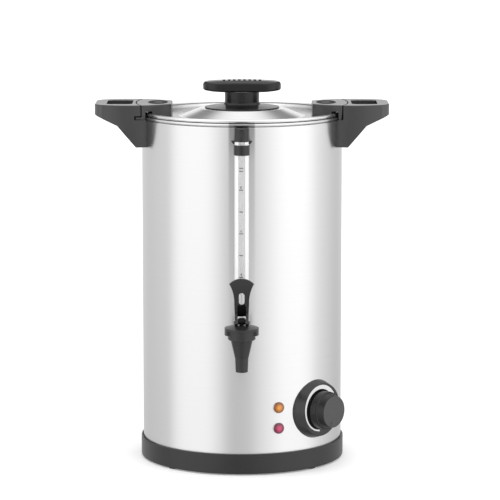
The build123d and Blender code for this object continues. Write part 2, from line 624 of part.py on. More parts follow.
def lid_parts():
    keep("lid_cover", lid_cover())
    ear = ear_solid()
    keep("lid_ear_right", ear)
    mark = Pos(-EAR_OUT + MARK_IN, -MARK_Y, HANDLE_TOP) * Sphere(MARK_R)
    keep("lid_ear_left", Rot(0, 0, 180) * ear - mark)
    screws = []
    for place in ear_screw_places():
        body = screw(EAR_SCREW_R, EAR_SCREW_L, EAR_SCREW_HEAD_R, EAR_SCREW_HEAD_H)
        screws.append(place * Pos(0, 0, PAN_TOP - LID_T) * Rot(180, 0, 0) * body)
    keep("ear_screws", *screws)

    disc_edge = LID_TOP + KNOB_DISC_EDGE
    under = LID_TOP - LID_T
    bore_top = under + KNOB_SCREW_L - KNOB_WASHER_T
    rise = LID_TOP + KNOB_DISC_RISE
    stem = turned((0, LID_TOP), (KNOB_DISC_R, LID_TOP), (KNOB_DISC_R, disc_edge), (STEM_R + STEM_FLARE, rise),
                  (STEM_R, rise + STEM_FLARE), (STEM_R, GRIP_FOOT), (0, GRIP_FOOT))
    stem -= rod(KNOB_SCREW_R, GRIP_Z + 2, LID_TOP - 1)
    keep("lid_knob_stem", stem)

    plan = extrude(SlotOverall(GRIP_L, GRIP_W), GRIP_H + 10)
    half = GRIP_L / 2 + 1
    low_mid = (0, GRIP_FOOT)
    low = ThreePointArc((-half, GRIP_FOOT + GRIP_BELLY), low_mid, (half, GRIP_FOOT + GRIP_BELLY))
    high = ThreePointArc((half, GRIP_FOOT + GRIP_H - GRIP_CROWN), (0, GRIP_FOOT + GRIP_H),
                         (-half, GRIP_FOOT + GRIP_H - GRIP_CROWN))
    side = make_face(Curve() + low + high + Line(low @ 1, high @ 0) + Line(high @ 1, low @ 0))
    grip = Pos(0, 0, GRIP_FOOT - 5) * plan
    grip &= extrude(Plane.XZ * side, GRIP_W, both=True)
    grip = fillet(grip.faces().sort_by(Axis.Z)[-1].edges(), GRIP_ROUND)
    grip = fillet(grip.faces().sort_by(Axis.Z)[0].edges(), GRIP_ROUND * 0.6)
    grip += rod(STEM_R, GRIP_BELLY + 1, GRIP_FOOT)
    core = SlotOverall(GRIP_L - 2 * GRIP_PARTING_W, GRIP_W - 2 * GRIP_PARTING_W)
    rim = extrude(SlotOverall(GRIP_L + 2, GRIP_W + 2) - core, GRIP_PARTING_W)
    grip -= Pos(0, 0, GRIP_FOOT + GRIP_PARTING) * rim
    for i in range(GRIP_SLOTS):
        x = (i - (GRIP_SLOTS - 1) / 2) * GRIP_SLOT_PITCH
        cut = extrude(Rot(0, 0, 90) * SlotOverall(GRIP_SLOT_L, GRIP_SLOT_W), GRIP_SLOT_DEEP + 1)
        grip -= Pos(x, 0, GRIP_FOOT + GRIP_H - GRIP_SLOT_DEEP) * cut
    grip -= rod(KNOB_SCREW_R, bore_top - GRIP_FOOT, GRIP_FOOT)
    keep("lid_knob_grip", grip)

    keep("knob_washer", ring(KNOB_WASHER_R, KNOB_SCREW_R, KNOB_WASHER_T, under - KNOB_WASHER_T))
    body = screw(KNOB_SCREW_R, KNOB_SCREW_L, KNOB_SCREW_HEAD_R, KNOB_SCREW_HEAD_H)
    keep("knob_screw", Pos(0, 0, under - KNOB_WASHER_T) * Rot(180, 0, 0) * body)


# ------------------------------------------------------------------ handles
def handle_solid():
    """Right-hand handle: carries the ear's groove, a finger slot and the screw bores."""
    end_foot = HANDLE_TOP - HANDLE_END_H
    side = make_face(Polyline((EAR_IN, HANDLE_FOOT_Z), (BODY_R + HANDLE_FOOT_OUT, HANDLE_FOOT_Z),
                              (BODY_R + HANDLE_KINK_OUT, HANDLE_KINK_Z), (HANDLE_OUT, end_foot),
                              (HANDLE_OUT, HANDLE_TOP), (EAR_IN, HANDLE_TOP), close=True))
    body = extrude(Plane.XZ * side, PLAN_HALF + 5, both=True)
    plan = extrude(plan_outline(EAR_IN, HANDLE_OUT), HANDLE_TOP + 1)
    corners = plan.edges().filter_by(Axis.Z).group_by(Axis.X)[-1]
    body &= fillet(corners, PLAN_ROUND)
    slot = extrude(Rectangle(SLOT_W, 2 * SLOT_HALF), HANDLE_TOP)
    slot = fillet(slot.edges().filter_by(Axis.Z), SLOT_ROUND)
    body -= Pos(SEAM_R + SLOT_WALL + SLOT_W / 2, 0, HANDLE_FOOT_Z) * slot
    body -= wall_solid()
    body = fillet(body.faces().sort_by(Axis.Z)[-1].edges(), HANDLE_EDGE)
    body -= rod(BODY_R + BEAD_OUT + EAR_WALL_GAP, HANDLE_TOP, BEAD_Z - BEAD_TUBE - EAR_WALL_GAP)
    body -= ring(SEAM_R, 1.0, HANDLE_TOP - GROOVE_FLOOR + 1, GROOVE_FLOOR)
    groove = ring(SEAM_R + GROOVE_OUT, 1.0, GROOVE_TOP - GROOVE_FLOOR, GROOVE_FLOOR)
    body -= groove & open_side(GROOVE_FROM)
    for side_az in (-1, 1):
        place = out_of_wall(90 + side_az * HANDLE_SCREW_AZ, HANDLE_SCREW_Z)
        body -= place * rod(HANDLE_SCREW_R, HANDLE_SCREW_L, -2)
    return body


def handle_parts():
    handle = handle_solid()
    keep("handle_right", handle)
    keep("handle_left", Rot(0, 0, 180) * handle)
    screws = []
    washers = []
    for azimuth in HANDLE_SCREW_AZIMUTHS:
        place = out_of_wall(azimuth, HANDLE_SCREW_Z, INNER_R)
        gasket = ring(HANDLE_WASHER_R, HANDLE_SCREW_R, HANDLE_WASHER_T + 1, -HANDLE_WASHER_T)
        washers.append((place * gasket) & wall_solid(INNER_R))
        body = screw(HANDLE_SCREW_R, HANDLE_SCREW_L, HANDLE_SCREW_HEAD_R, HANDLE_SCREW_HEAD_H)
        screws.append(place * Pos(0, 0, -HANDLE_WASHER_T) * Rot(180, 0, 0) * body)
    keep("handle_screws", *screws)
    keep("handle_washers", *washers)


# ------------------------------------------------------------------ gauge
def gauge_parts():
    axis = Pos(0, GAUGE_Y, 0)
    nut_top = BOSS_TOP + GAUGE_NUT_CAP
    boss_r = GAUGE_COVER_R - GAUGE_BOSS_IN
    socket_r = GAUGE_COVER_R - GAUGE_SEAL_IN
    cover_bore = GAUGE_COVER_R - GAUGE_COVER_T
    cover_top = HOLDER_LIP + HOLDER_SOCKET
    tube_top = HOLDER_TOP - HOLDER_CAP
    tube_foot = BOSS_TOP - GAUGE_SEAL_H - GAUGE_TUBE_END
    keep("gauge_cover", axis * ring(GAUGE_COVER_R, cover_bore, cover_top - nut_top, nut_top))
    keep("gauge_tube", axis * ring(GAUGE_TUBE_R, GAUGE_TUBE_BORE, tube_top - tube_foot, tube_foot))
    collar = ring(GAUGE_COVER_R + COLLAR_T, GAUGE_COVER_R, COLLAR_TOP - COLLAR_FOOT, COLLAR_FOOT)
    keep("gauge_collar", axis * collar)
    seal_low = ring(socket_r, GAUGE_TUBE_R, GAUGE_SEAL_H, BOSS_TOP - GAUGE_SEAL_H)
    seal_high = ring(cover_bore, GAUGE_TUBE_R, GAUGE_SEAL_H / 2, COLLAR_FOOT + 3.0)
    keep("gauge_seals", axis * seal_low, axis * seal_high)
    nut = ring(GAUGE_NUT_R, boss_r, GAUGE_NUT_H, nut_top - GAUGE_NUT_H)
    nut += ring(GAUGE_NUT_R, GAUGE_TUBE_R + GAUGE_NUT_GAP, GAUGE_NUT_CAP, BOSS_TOP)
    keep("gauge_nut", axis * nut)

    holder = rod(HOLDER_R, HOLDER_TOP - HOLDER_LIP, HOLDER_LIP)
    holder = fillet(holder.edges().group_by(Axis.Z)[-1], HOLDER_ROUND)
    reach = -GAUGE_Y - math.sqrt(BODY_R ** 2 - HOLDER_WING ** 2)
    web_h = HOLDER_TOP - HOLDER_LIP - HOLDER_ROUND
    web = Pos(0, reach / 2, 0) * block(2 * HOLDER_R, reach, web_h, HOLDER_LIP)
    wing = make_face(Polyline((-HOLDER_R, HOLDER_WING_H), (-HOLDER_WING, HOLDER_WING_EDGE), (-HOLDER_WING, 0),
                              (HOLDER_WING, 0), (HOLDER_WING, HOLDER_WING_EDGE), (HOLDER_R, HOLDER_WING_H),
                              close=True))
    wings = Pos(0, reach, HOLDER_LIP) * extrude(Plane.XZ * wing, HOLDER_WING_T)
    holder = axis * (holder + web + wings) - wall_solid()
    holder -= axis * rod(GAUGE_COVER_R, cover_top - HOLDER_LIP, HOLDER_LIP)
    holder -= axis * rod(GAUGE_TUBE_R, tube_top - cover_top, cover_top)
    holder -= axis * rod(GAUGE_VENT_R, HOLDER_TOP - tube_top + 1, tube_top)
    groove = block(HOLDER_GROOVE_W, 2 * HOLDER_GROOVE_DEEP, HOLDER_GROOVE_H, HOLDER_LIP + HOLDER_GROOVE_LOW)
    holder -= Pos(0, GAUGE_Y - HOLDER_R, 0) * groove
    place = out_of_wall(0, GAUGE_SCREW_Z, INNER_R)
    holder -= place * rod(GAUGE_SCREW_R, GAUGE_SCREW_L - GAUGE_WASHER_T)
    keep("gauge_holder", holder)
    gasket = ring(GAUGE_WASHER_R, GAUGE_SCREW_R, GAUGE_WASHER_T + 1, -GAUGE_WASHER_T)
    keep("gauge_washer", (place * gasket) & wall_solid(INNER_R))
    body = screw(GAUGE_SCREW_R, GAUGE_SCREW_L, GAUGE_SCREW_HEAD_R, GAUGE_SCREW_HEAD_H)
    keep("gauge_screw", place * Pos(0, 0, -GAUGE_WASHER_T) * Rot(180, 0, 0) * body)


# ------------------------------------------------------------------ tap
def tap_fixed():
    """Shank, body and bonnet, with the washers and the nut that hold them to the wall."""
    along = Location(Plane(origin=(0, 0, SHANK_Z), x_dir=(1, 0, 0), z_dir=(0, -1, 0)))
    flange_in = BODY_R + WASHER_T
    nut_face = INNER_R - WASHER_T - 1.0
    shank_start = BODY_R - SHANK_IN
    neck_start = TAP_OUT + BODY_R - CHAMBER_R - SHANK_NECK_L
    shank_end = -TAP_Y - CHAMBER_R - SHANK_STOP
    shank = along * (rod(SHANK_R, shank_end - shank_start, shank_start) + rod(FLANGE_R, FLANGE_T, flange_in))
    gauge = Pos(0, GAUGE_Y, 0)
    boss_foot = SHANK_Z - SHANK_R / 2
    shank += gauge * rod(GAUGE_COVER_R - GAUGE_BOSS_IN, BOSS_TOP - boss_foot, boss_foot)
    shank -= along * rod(SHANK_BORE, shank_end - shank_start + 2, shank_start - 1)
    shank -= gauge * rod(GAUGE_COVER_R - GAUGE_SEAL_IN, GAUGE_SEAL_H + 1, BOSS_TOP - GAUGE_SEAL_H)
    shank -= gauge * rod(GAUGE_TUBE_R, GAUGE_TUBE_END, BOSS_TOP - GAUGE_SEAL_H - GAUGE_TUBE_END)
    shank -= gauge * rod(GAUGE_TUBE_BORE, BOSS_TOP - GAUGE_SEAL_H - SHANK_Z, SHANK_Z)
    keep("tap_shank", shank)
    outer = along * ring(FLANGE_R, SHANK_R, 8.0, flange_in - 8.0) - wall_solid()
    inner = (along * ring(FLANGE_R, SHANK_R, 8.0, nut_face)) & wall_solid(INNER_R)
    keep("shank_washers", outer, inner)
    nut = along * Pos(0, 0, nut_face - NUT_T) * (hexagon(NUT_AF, NUT_T) - rod(SHANK_R, NUT_T))
    keep("shank_nut", nut)

    cone_foot = CONE_TOP_Z - CONE_LEN
    body = turned((0, SPOUT_END_Z), (SPOUT_END_R, SPOUT_END_Z), (CONE_FOOT, cone_foot),
                  (CONE_TOP, CONE_TOP_Z), (COLLAR_R - COLLAR_EDGE, CONE_TOP_Z), (COLLAR_R, CONE_TOP_Z + COLLAR_EDGE),
                  (COLLAR_R, BONNET_FOOT), (THREAD_R, BONNET_FOOT), (THREAD_R, CHAMBER_TOP), (0, CHAMBER_TOP))
    body = fillet(body.edges().group_by(Axis.Z)[0], SPOUT_ROUND)
    body += Pos(0, -COLLAR_R, 0) * block(LUG_W, 2 * LUG_OUT, COLLAR_H - COLLAR_EDGE, CONE_TOP_Z + COLLAR_EDGE)
    body = Pos(0, TAP_Y, 0) * body
    body += along * rod(SHANK_NECK_R, CHAMBER_R / 2 + SHANK_NECK_L, neck_start)
    chamber_foot = SEAT_Z - SEAT_LIP
    foot_r = CONE_FOOT + (CONE_TOP - CONE_FOOT) * (chamber_foot - cone_foot) / CONE_LEN - CHAMBER_WALL
    chamber = turned((0, chamber_foot), (foot_r, chamber_foot), (CHAMBER_R, CONE_TOP_Z),
                     (CHAMBER_R, CHAMBER_TOP), (0, CHAMBER_TOP))
    seat_r = SPOUT_BORE + SEAT_RING
    chamber -= ring(seat_r, SPOUT_BORE, SEAT_LIP, chamber_foot)
    body -= Pos(0, TAP_Y, 0) * (chamber + rod(SPOUT_BORE, SEAT_Z - SPOUT_END_Z + 1, SPOUT_END_Z - 1))
    body -= along * rod(SHANK_R, shank_end - neck_start, neck_start)
    body -= along * rod(SHANK_BORE, -TAP_Y - seat_r - SEAT_LIP - shank_end, shank_end)
    keep("tap_body", body)

    rim = BONNET_TOP - BONNET_SHOULDER
    skirt_top = rim - BONNET_RIM_H
    bonnet = turned((0, CHAMBER_TOP), (THREAD_R, CHAMBER_TOP), (THREAD_R, BONNET_FOOT),
                    (BONNET_SKIRT_R, BONNET_FOOT), (BONNET_SKIRT_R, skirt_top), (BONNET_R, skirt_top),
                    (BONNET_R, rim), (BONNET_FLAT_R, BONNET_TOP), (0, BONNET_TOP))
    wing = ring(BONNET_R, BONNET_SKIRT_R, skirt_top - BONNET_FOOT, BONNET_FOOT)
    span = 2 * BONNET_R * math.sin(math.radians(BONNET_WING))
    bonnet += wing & block(3 * BONNET_R, span, BONNET_H, BONNET_FOOT)
    bonnet -= rod(TAP_STEM_R + STEM_CLEAR, BONNET_H, BONNET_FOOT)
    keep("tap_bonnet", Pos(0, TAP_Y, 0) * bonnet)


def tap_moving():
    """Stem with its silicone cup, return spring, pin and lever."""
    axis = Pos(0, TAP_Y, 0)
    cup_foot = SEAT_Z + CUP_GAP
    cup_top = cup_foot + CUP_H
    cup = turned((0, cup_foot), (CUP_R - 0.6, cup_foot), (CUP_R, cup_foot + 0.6), (CUP_R, cup_foot + 2.4),
                 (TAP_STEM_R + 2.2, cup_foot + 6.0), (TAP_STEM_R + 2.2, cup_top - 1.8),
                 (SPRING_R + SPRING_LAND, cup_top - 1.2), (SPRING_R + SPRING_LAND, cup_top), (0, cup_top))
    cup -= rod(TAP_STEM_R, CUP_GRIP, cup_top - CUP_GRIP)
    keep("seat_cup", axis * cup)
    stem = rod(TAP_STEM_R, PIN_Z - cup_top + CUP_GRIP, cup_top - CUP_GRIP)
    stem += Pos(0, 0, PIN_Z) * Rot(0, 90, 0) * Cylinder(HEAD_R, HEAD_W)
    stem -= Pos(0, 0, PIN_Z) * Rot(0, 90, 0) * Cylinder(PIN_R, HEAD_W + 2)
    keep("tap_stem", axis * stem)
    pin = Rot(0, 90, 0) * Cylinder(PIN_R, PIN_L)
    keep("lever_pin", Pos(0, TAP_Y, PIN_Z) * chamfer(pin.edges(), 0.3))

    spring_low = cup_top + SPRING_WIRE
    height = CHAMBER_TOP - SPRING_WIRE - spring_low
    path = Helix(pitch=height / SPRING_TURNS, height=height, radius=SPRING_R)
    coil = sweep(Plane(origin=path @ 0, z_dir=path % 0) * Circle(SPRING_WIRE), path=path)
    keep("tap_spring", axis * Pos(0, 0, spring_low) * coil)


def cam_point(angle):
    """Point of the lever's foot whose tangent is level when the lever has turned by angle (radians)."""
    drop = FOOT_DROP + LIFT_PER_RAD * angle
    y = -drop * math.sin(angle) - LIFT_PER_RAD * math.cos(angle)
    z = -drop * math.cos(angle) + LIFT_PER_RAD * math.sin(angle)
    return (y, z)


def tap_lever():
    """Forked lever. Its feet are an involute of a circle of LIFT_PER_RAD, so the stem lifts evenly."""
    top = math.radians(LEVER_MAX)
    steps = 4
    toe = Spline(*[cam_point(top * i / steps) for i in range(steps + 1)],
                 tangents=[(-1, 0), (-math.cos(top), math.sin(top))])
    foot = Polyline(toe @ 1, (-LEVER_SHIN, LEVER_KNEE), (-LEVER_SHIN, LEVER_HIPS), (LEVER_T, LEVER_HIPS),
                    (LEVER_HEEL, 0.0), (LEVER_HEEL, -FOOT_DROP), toe @ 0)
    leg = make_face(Curve() + toe + foot)
    rise = LEVER_TOP - PIN_Z
    front = Spline(*[(-lean * LEVER_LEAN, share * rise) for share, lean in LEVER_FRONT])
    back = Spline(*[(LEVER_T - lean * LEVER_LEAN, share * rise) for share, lean in LEVER_BACK])
    blade = make_face(Curve() + front + Line(front @ 1, back @ 0) + back + Line(back @ 1, front @ 0))
    side = extrude(Plane.YZ * leg, LEVER_LEG, both=True) + extrude(Plane.YZ * blade, LEVER_FAN + 1, both=True)

    fan = ThreePointArc((-LEVER_FAN, LEVER_CORNER - PIN_Z), (0, rise), (LEVER_FAN, LEVER_CORNER - PIN_Z))
    right = ThreePointArc(fan @ 1, (LEVER_MID_W, LEVER_MID_Z - PIN_Z), (LEVER_WAIST, LEVER_WAIST_Z - PIN_Z))
    left = ThreePointArc((-LEVER_WAIST, LEVER_WAIST_Z - PIN_Z), (-LEVER_MID_W, LEVER_MID_Z - PIN_Z), fan @ 0)
    below = -2 * FOOT_DROP
    hips = Polyline(right @ 1, (LEVER_LEG, LEVER_HIPS), (LEVER_LEG, below), (-LEVER_LEG, below),
                    (-LEVER_LEG, LEVER_HIPS), left @ 0)
    outline = make_face(Curve() + fan + right + hips + left)
    lever = side & extrude(Plane.XZ * outline, rise, both=True)
    lever -= block(2 * FORK_HALF, rise, rise, FORK_TOP - rise)
    lever -= Rot(0, 90, 0) * Cylinder(PIN_R + PIN_CLEAR, 4 * LEVER_LEG)
    window = Rot(0, 0, 90) * SlotOverall(WINDOW_HIGH - WINDOW_LOW, 2 * WINDOW_HALF)
    lever -= Pos(0, 0, (WINDOW_LOW + WINDOW_HIGH) / 2 - PIN_Z) * extrude(Plane.XZ * window, rise, both=True)
    keep("tap_lever", Pos(0, TAP_Y, PIN_Z) * lever)


# ------------------------------------------------------------------ thermostat and lamps
def scale_arc(thickness, low):
    """Dial scale: an arc band that widens clockwise from just past straight down."""
    middle = (SCALE_IN_START + SCALE_IN_END) / 2
    start = math.radians(-90 - 3)
    end = start - math.radians(SCALE_SWEEP)
    mid = (start + end) / 2
    outer = ThreePointArc(*[(SCALE_OUT * math.cos(a), SCALE_OUT * math.sin(a)) for a in (start, mid, end)])
    inner = ThreePointArc(*[(r * math.cos(a), r * math.sin(a))
                            for r, a in ((SCALE_IN_END, end), (middle, mid), (SCALE_IN_START, start))])
    band = make_face(Curve() + outer + inner + Line(outer @ 1, inner @ 0) + Line(inner @ 1, outer @ 0))
    return Pos(0, 0, low) * extrude(band, thickness)


def thermostat_parts():
    place = out_of_wall(DIAL_AZ, DIAL_Z)
    bezel = turned((0, -8), (BEZEL_R + 0.5, -8), (BEZEL_R, 0), (BEZEL_FACE_R, BEZEL_FACE), (0, BEZEL_FACE))
    bezel = fillet(bezel.edges().group_by(Axis.Z)[-1], 0.8)
    inside = turned((0, -9), (BEZEL_R - BEZEL_T + 0.5, -9), (BEZEL_R - BEZEL_T, 0),
                    (BEZEL_FACE_R - BEZEL_T, BEZEL_FACE - BEZEL_T), (0, BEZEL_FACE - BEZEL_T))
    bosses = rod(BEZEL_BOSS_R + 1.5, BEZEL_FACE + 6, -8)
    for side in (-1, 1):
        bosses += Pos(0, side * DIAL_SCREW_PITCH / 2, 0) * rod(BEZEL_BOSS_R, BEZEL_FACE + 6, -8)
    bezel -= inside - bosses
    arc = scale_arc(SCALE_T, BEZEL_FACE - SCALE_T)
    bezel -= arc
    bezel -= rod(SHAFT_R + 1.0, BEZEL_FACE + 10, -9)
    head_seat = BEZEL_FACE - DIAL_SCREW_HEAD_H - 0.6
    screws = []
    front = -WALL - REGULATOR_GAP
    regulator = block(REGULATOR_W, REGULATOR_H, REGULATOR_D, front - REGULATOR_D)
    regulator = fillet(regulator.edges().filter_by(Axis.Z), 2.0)
    for side in (-1, 1):
        spot = Pos(0, side * DIAL_SCREW_PITCH / 2, 0)
        bezel -= spot * rod(DIAL_SCREW_R, BEZEL_FACE + 10, -9)
        bezel -= spot * rod(DIAL_SCREW_HEAD_R + 0.2, 4.0, head_seat)
        regulator += spot * rod(SPACER_R, REGULATOR_GAP + WALL + 1, front)
        regulator -= spot * rod(DIAL_SCREW_R, REGULATOR_GAP + WALL + 8, front - 6)
        length = head_seat - front + 5
        body = screw(DIAL_SCREW_R, length, DIAL_SCREW_HEAD_R, DIAL_SCREW_HEAD_H)
        screws.append(place * spot * Pos(0, 0, head_seat) * body)
    regulator -= rod(SHAFT_R + SHAFT_CLEAR, SHAFT_IN + 1, front - SHAFT_IN + 4)
    for side in (-1, 1):
        tab = block(0.8, 6.3, 8.0, front - REGULATOR_D - 8.0)
        regulator += Pos(side * 9.0, -REGULATOR_H / 4, 0) * tab
    keep("thermostat_bezel", place * bezel - wall_solid())
    keep("dial_scale", place * arc)
    keep("thermostat_screws", *screws)
    keep("thermostat_body", (place * regulator) & wall_solid(INNER_R))

    foot = BEZEL_FACE + KNOB_GAP
    face = foot + KNOB_H
    waist = foot + KNOB_SKIRT_H
    knob = turned((0, foot), (KNOB_SKIRT_R, foot), (KNOB_SKIRT_R, waist - 1.2), (KNOB_SKIRT_R - 0.9, waist),
                  (KNOB_FOOT_R, waist), (KNOB_FACE_R, face), (0, face))
    knob = fillet(knob.edges().group_by(Axis.Z)[-1], KNOB_EDGE)
    skirt_bore = KNOB_SKIRT_R - KNOB_WALL
    inner_face = face - KNOB_WALL
    core = turned((0, foot - 1), (skirt_bore, foot - 1), (skirt_bore, waist - 1),
                  (KNOB_FOOT_R - KNOB_WALL, waist + 1), (KNOB_FACE_R - KNOB_WALL, inner_face),
                  (0, inner_face))
    knob -= core - rod(KNOB_HUB_R, KNOB_H + 2, foot - 1)
    pointer_r = KNOB_FACE_R - KNOB_EDGE - POINTER_L / 2
    tilt = Rot(0, 0, -90 - POINTER_AZ)
    knob += tilt * Pos(pointer_r, 0, 0) * block(POINTER_L, POINTER_W, POINTER_H + 0.5, face - 0.5)
    shaft_top = face - KNOB_WALL - 1.0
    shaft_foot = front - SHAFT_IN + 5
    shaft = rod(SHAFT_R, shaft_top - shaft_foot, shaft_foot)
    shaft -= Pos(0, SHAFT_R + 1.5, 0) * block(8, 6, shaft_top - foot + 1, foot + 1)
    knob -= shaft
    keep("thermostat_knob", place * knob)
    keep("thermostat_shaft", place * shaft)


def lamp_parts():
    bezels = []
    bodies = []
    for colour, height in LAMPS.items():
        place = out_of_wall(LAMP_AZ, height)
        lens = rod(LAMP_LENS_R, LAMP_LENS_H, LAMP_BEZEL_H * 0.4)
        lens = fillet(lens.edges().group_by(Axis.Z)[-1], LAMP_LENS_H * 0.55)
        trim = rod(LAMP_BEZEL_R, LAMP_BEZEL_H + 2, -2) - lens - rod(LAMP_BODY_R, 4, -3)
        bezels.append((place * trim) - wall_solid())
        body = rod(LAMP_BODY_R, LAMP_BODY_L + LAMP_BEZEL_H * 0.4, -LAMP_BODY_L)
        for side in (-1, 1):
            body += Pos(side * 2.5, 0, 0) * block(0.8, 4.8, 7.0, -LAMP_BODY_L - 7.0)
        keep("pilot_lamp_" + colour, place * lens)
        bodies.append(place * body)
    keep("lamp_bezels", *bezels)
    keep("lamp_bodies", *bodies)


# ------------------------------------------------------------------ mains side
def mains_parts():
    place = out_of_wall(180, INLET_Z)
    pad_face = PAD_OUT
    pad_outline = RectangleRounded(INLET_FACE_W + 2 * PAD_EDGE, INLET_FACE_H + 2 * PAD_EDGE, 4.0)
    pad = Pos(0, 0, -INLET_DEEP / 2) * extrude(pad_outline, pad_face + INLET_DEEP / 2)
    pad = chamfer(pad.edges().group_by(Axis.Z)[-1], 0.8)
    pad -= block(INLET_W, INLET_H, 2 * INLET_DEEP, -INLET_DEEP)
    inlet = Pos(0, 0, pad_face) * extrude(RectangleRounded(INLET_FACE_W, INLET_FACE_H, 3.0), INLET_FACE_T)
    inlet = chamfer(inlet.edges().group_by(Axis.Z)[-1], 0.6)
    inlet += block(INLET_W - 0.4, INLET_H - 0.4, INLET_DEEP, pad_face - INLET_DEEP)
    mouth_top = pad_face + INLET_FACE_T
    cavity_w = INLET_W - 2 * INLET_WALL
    cavity_h = INLET_H - 2 * INLET_WALL
    cavity = extrude(Rectangle(cavity_w, cavity_h), INLET_CAVITY + 1)
    cavity = chamfer(cavity.edges().filter_by(Axis.Z).group_by(Axis.Y)[-1], 4.0)
    inlet -= Pos(0, 0, mouth_top - INLET_CAVITY) * cavity
    for x, y in ((-7.0, -3.0), (7.0, -3.0), (0.0, 1.0)):
        inlet += Pos(x, y, 0) * block(2.0, 4.0, INLET_CAVITY - 2, mouth_top - INLET_CAVITY)
        inlet += Pos(x, y, 0) * block(0.8, 4.8, 8.0, pad_face - INLET_DEEP - 8.0)
    screws = []
    for side in (-1, 1):
        spot = Pos(side * INLET_PITCH / 2, 0, 0)
        bore = spot * rod(INLET_SCREW_R, 2 * INLET_DEEP, -INLET_DEEP)
        pad -= bore
        inlet -= bore
        body = screw(INLET_SCREW_R, INLET_SCREW_L, INLET_SCREW_HEAD_R, INLET_SCREW_HEAD_H)
        screws.append(place * spot * Pos(0, 0, mouth_top) * body)
    keep("inlet_pad", place * pad - wall_solid())
    keep("mains_inlet", place * inlet)
    keep("inlet_screws", *screws)

    floor = FLANGE_TOP + PLATE_T
    terminal = Pos(TERMINAL_X, TERMINAL_Y, 0) * block(BLOCK_L, BLOCK_W, BLOCK_H, floor)
    for i in range(3):
        for side in (-1, 1):
            spot = Pos(TERMINAL_X + (i - 1) * BLOCK_L / 3, TERMINAL_Y + side * BLOCK_W / 4, 0)
            terminal -= spot * rod(2.4, 6.0, floor + BLOCK_H - 5.0)
    keep("terminal_block", terminal)
    stud = rod(EARTH_R, EARTH_L, floor)
    stud += Pos(0, 0, floor) * hexagon(7.0, 3.2)
    stud += Pos(0, 0, floor + 6.0) * hexagon(7.0, 3.2)
    keep("earth_stud", Pos(EARTH_X, EARTH_Y, 0) * stud)


# ------------------------------------------------------------------ build
def main():
    keep("tank_wall", tank_wall())
    keep("tank_floor", tank_floor())
    heating()
    base()
    lid_parts()
    handle_parts()
    gauge_parts()
    tap_fixed()
    tap_moving()
    tap_lever()
    thermostat_parts()
    lamp_parts()
    mains_parts()
    os.makedirs("parts", exist_ok=True)
    for node, shape in PARTS.items():
        export_step(shape, os.path.join("parts", node + ".step"))
    print(len(PARTS), "nodes written")


main()
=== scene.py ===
# %% [markdown]
# # Dressing a hot water urn
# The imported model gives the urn's pieces at their real size, in metres, with +Z up and the tap at -Y.
# This lesson gives each of them its surface. The steel shells, the lid's knob, the water gauge, the dial and
# the pilot lamps are worked out again as smooth surfaces, because a shiny surface shows every facet of a
# coarse mesh. The rest of the pieces keep their own shape and get a material.

# %% The frame and the numbers that it gives
import json
import math

import bmesh
import bpy
import numpy as np
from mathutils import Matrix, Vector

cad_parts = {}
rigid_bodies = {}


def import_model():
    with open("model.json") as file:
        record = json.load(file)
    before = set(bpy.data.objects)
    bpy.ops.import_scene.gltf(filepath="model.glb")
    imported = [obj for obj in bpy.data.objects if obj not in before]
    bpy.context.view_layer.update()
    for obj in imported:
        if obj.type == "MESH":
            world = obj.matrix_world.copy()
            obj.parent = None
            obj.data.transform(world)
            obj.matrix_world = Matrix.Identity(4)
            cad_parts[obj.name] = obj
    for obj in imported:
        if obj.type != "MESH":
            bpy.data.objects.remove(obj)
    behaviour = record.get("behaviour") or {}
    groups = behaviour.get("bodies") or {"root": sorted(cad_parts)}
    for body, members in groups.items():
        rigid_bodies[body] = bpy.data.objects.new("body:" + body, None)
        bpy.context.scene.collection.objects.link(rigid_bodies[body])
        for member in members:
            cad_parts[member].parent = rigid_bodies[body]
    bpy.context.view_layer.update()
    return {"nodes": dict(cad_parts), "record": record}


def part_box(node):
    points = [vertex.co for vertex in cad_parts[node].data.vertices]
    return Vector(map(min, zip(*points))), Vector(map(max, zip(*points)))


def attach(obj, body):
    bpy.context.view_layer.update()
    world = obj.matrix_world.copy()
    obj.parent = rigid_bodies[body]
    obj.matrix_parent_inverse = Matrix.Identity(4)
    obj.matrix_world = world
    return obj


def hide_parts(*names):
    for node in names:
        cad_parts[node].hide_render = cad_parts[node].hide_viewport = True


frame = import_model()
MM = 0.001

# %% [markdown]
# ## Camera
# A long lens from three metres away gives the flat perspective of a catalogue picture. The lens is written
# as a focal length in pixels of a square picture, because that is how it is measured, and turned into
# Blender's millimetres. The camera looks down by a few degrees.

# %% Camera
PICTURE = 500
FOCAL_PIXELS = 2756.5
SENSOR = 36.0
CAMERA_PLACE = (0.00917, -3.1579, 0.7142)
CAMERA_DOWN = 0.149

camera_data = bpy.data.cameras.new("camera")
camera_data.sensor_width = SENSOR
camera_data.lens = SENSOR * FOCAL_PIXELS / PICTURE
camera = bpy.data.objects.new("camera", camera_data)
camera.location = CAMERA_PLACE
camera.rotation_euler = (math.pi / 2 - CAMERA_DOWN, 0.0, 0.0)
bpy.context.collection.objects.link(camera)
bpy.context.scene.camera = camera
bpy.context.scene.view_settings.view_transform = "Standard"
print("lens:", round(camera_data.lens, 2), "mm")

# %% [markdown]
# ## Node trees as sums
# Blender builds shading from nodes. Wiring dozens of them by hand hides the idea, so one small class wraps a
# socket and lets Python's own operators add the Math nodes: `1 - mask * 0.2` is two nodes. Python looks such
# an operator up by its name in the class, so a loop can put all of them there.


# %% Sockets that can be added and multiplied
class Socket:
    """An output of a node; sums and products of it are Math nodes in the same tree."""

    def __init__(self, tree, output):
        self.tree = tree
        self.output = output

    def step(self, low, high):
        """Smooth step: 0 below low, 1 above high, an S-shaped rise between them."""
        settings = {"interpolation_type": "SMOOTHSTEP"}
        return self.tree.node("ShaderNodeMapRange", settings, self, low, high, 0.0, 1.0)


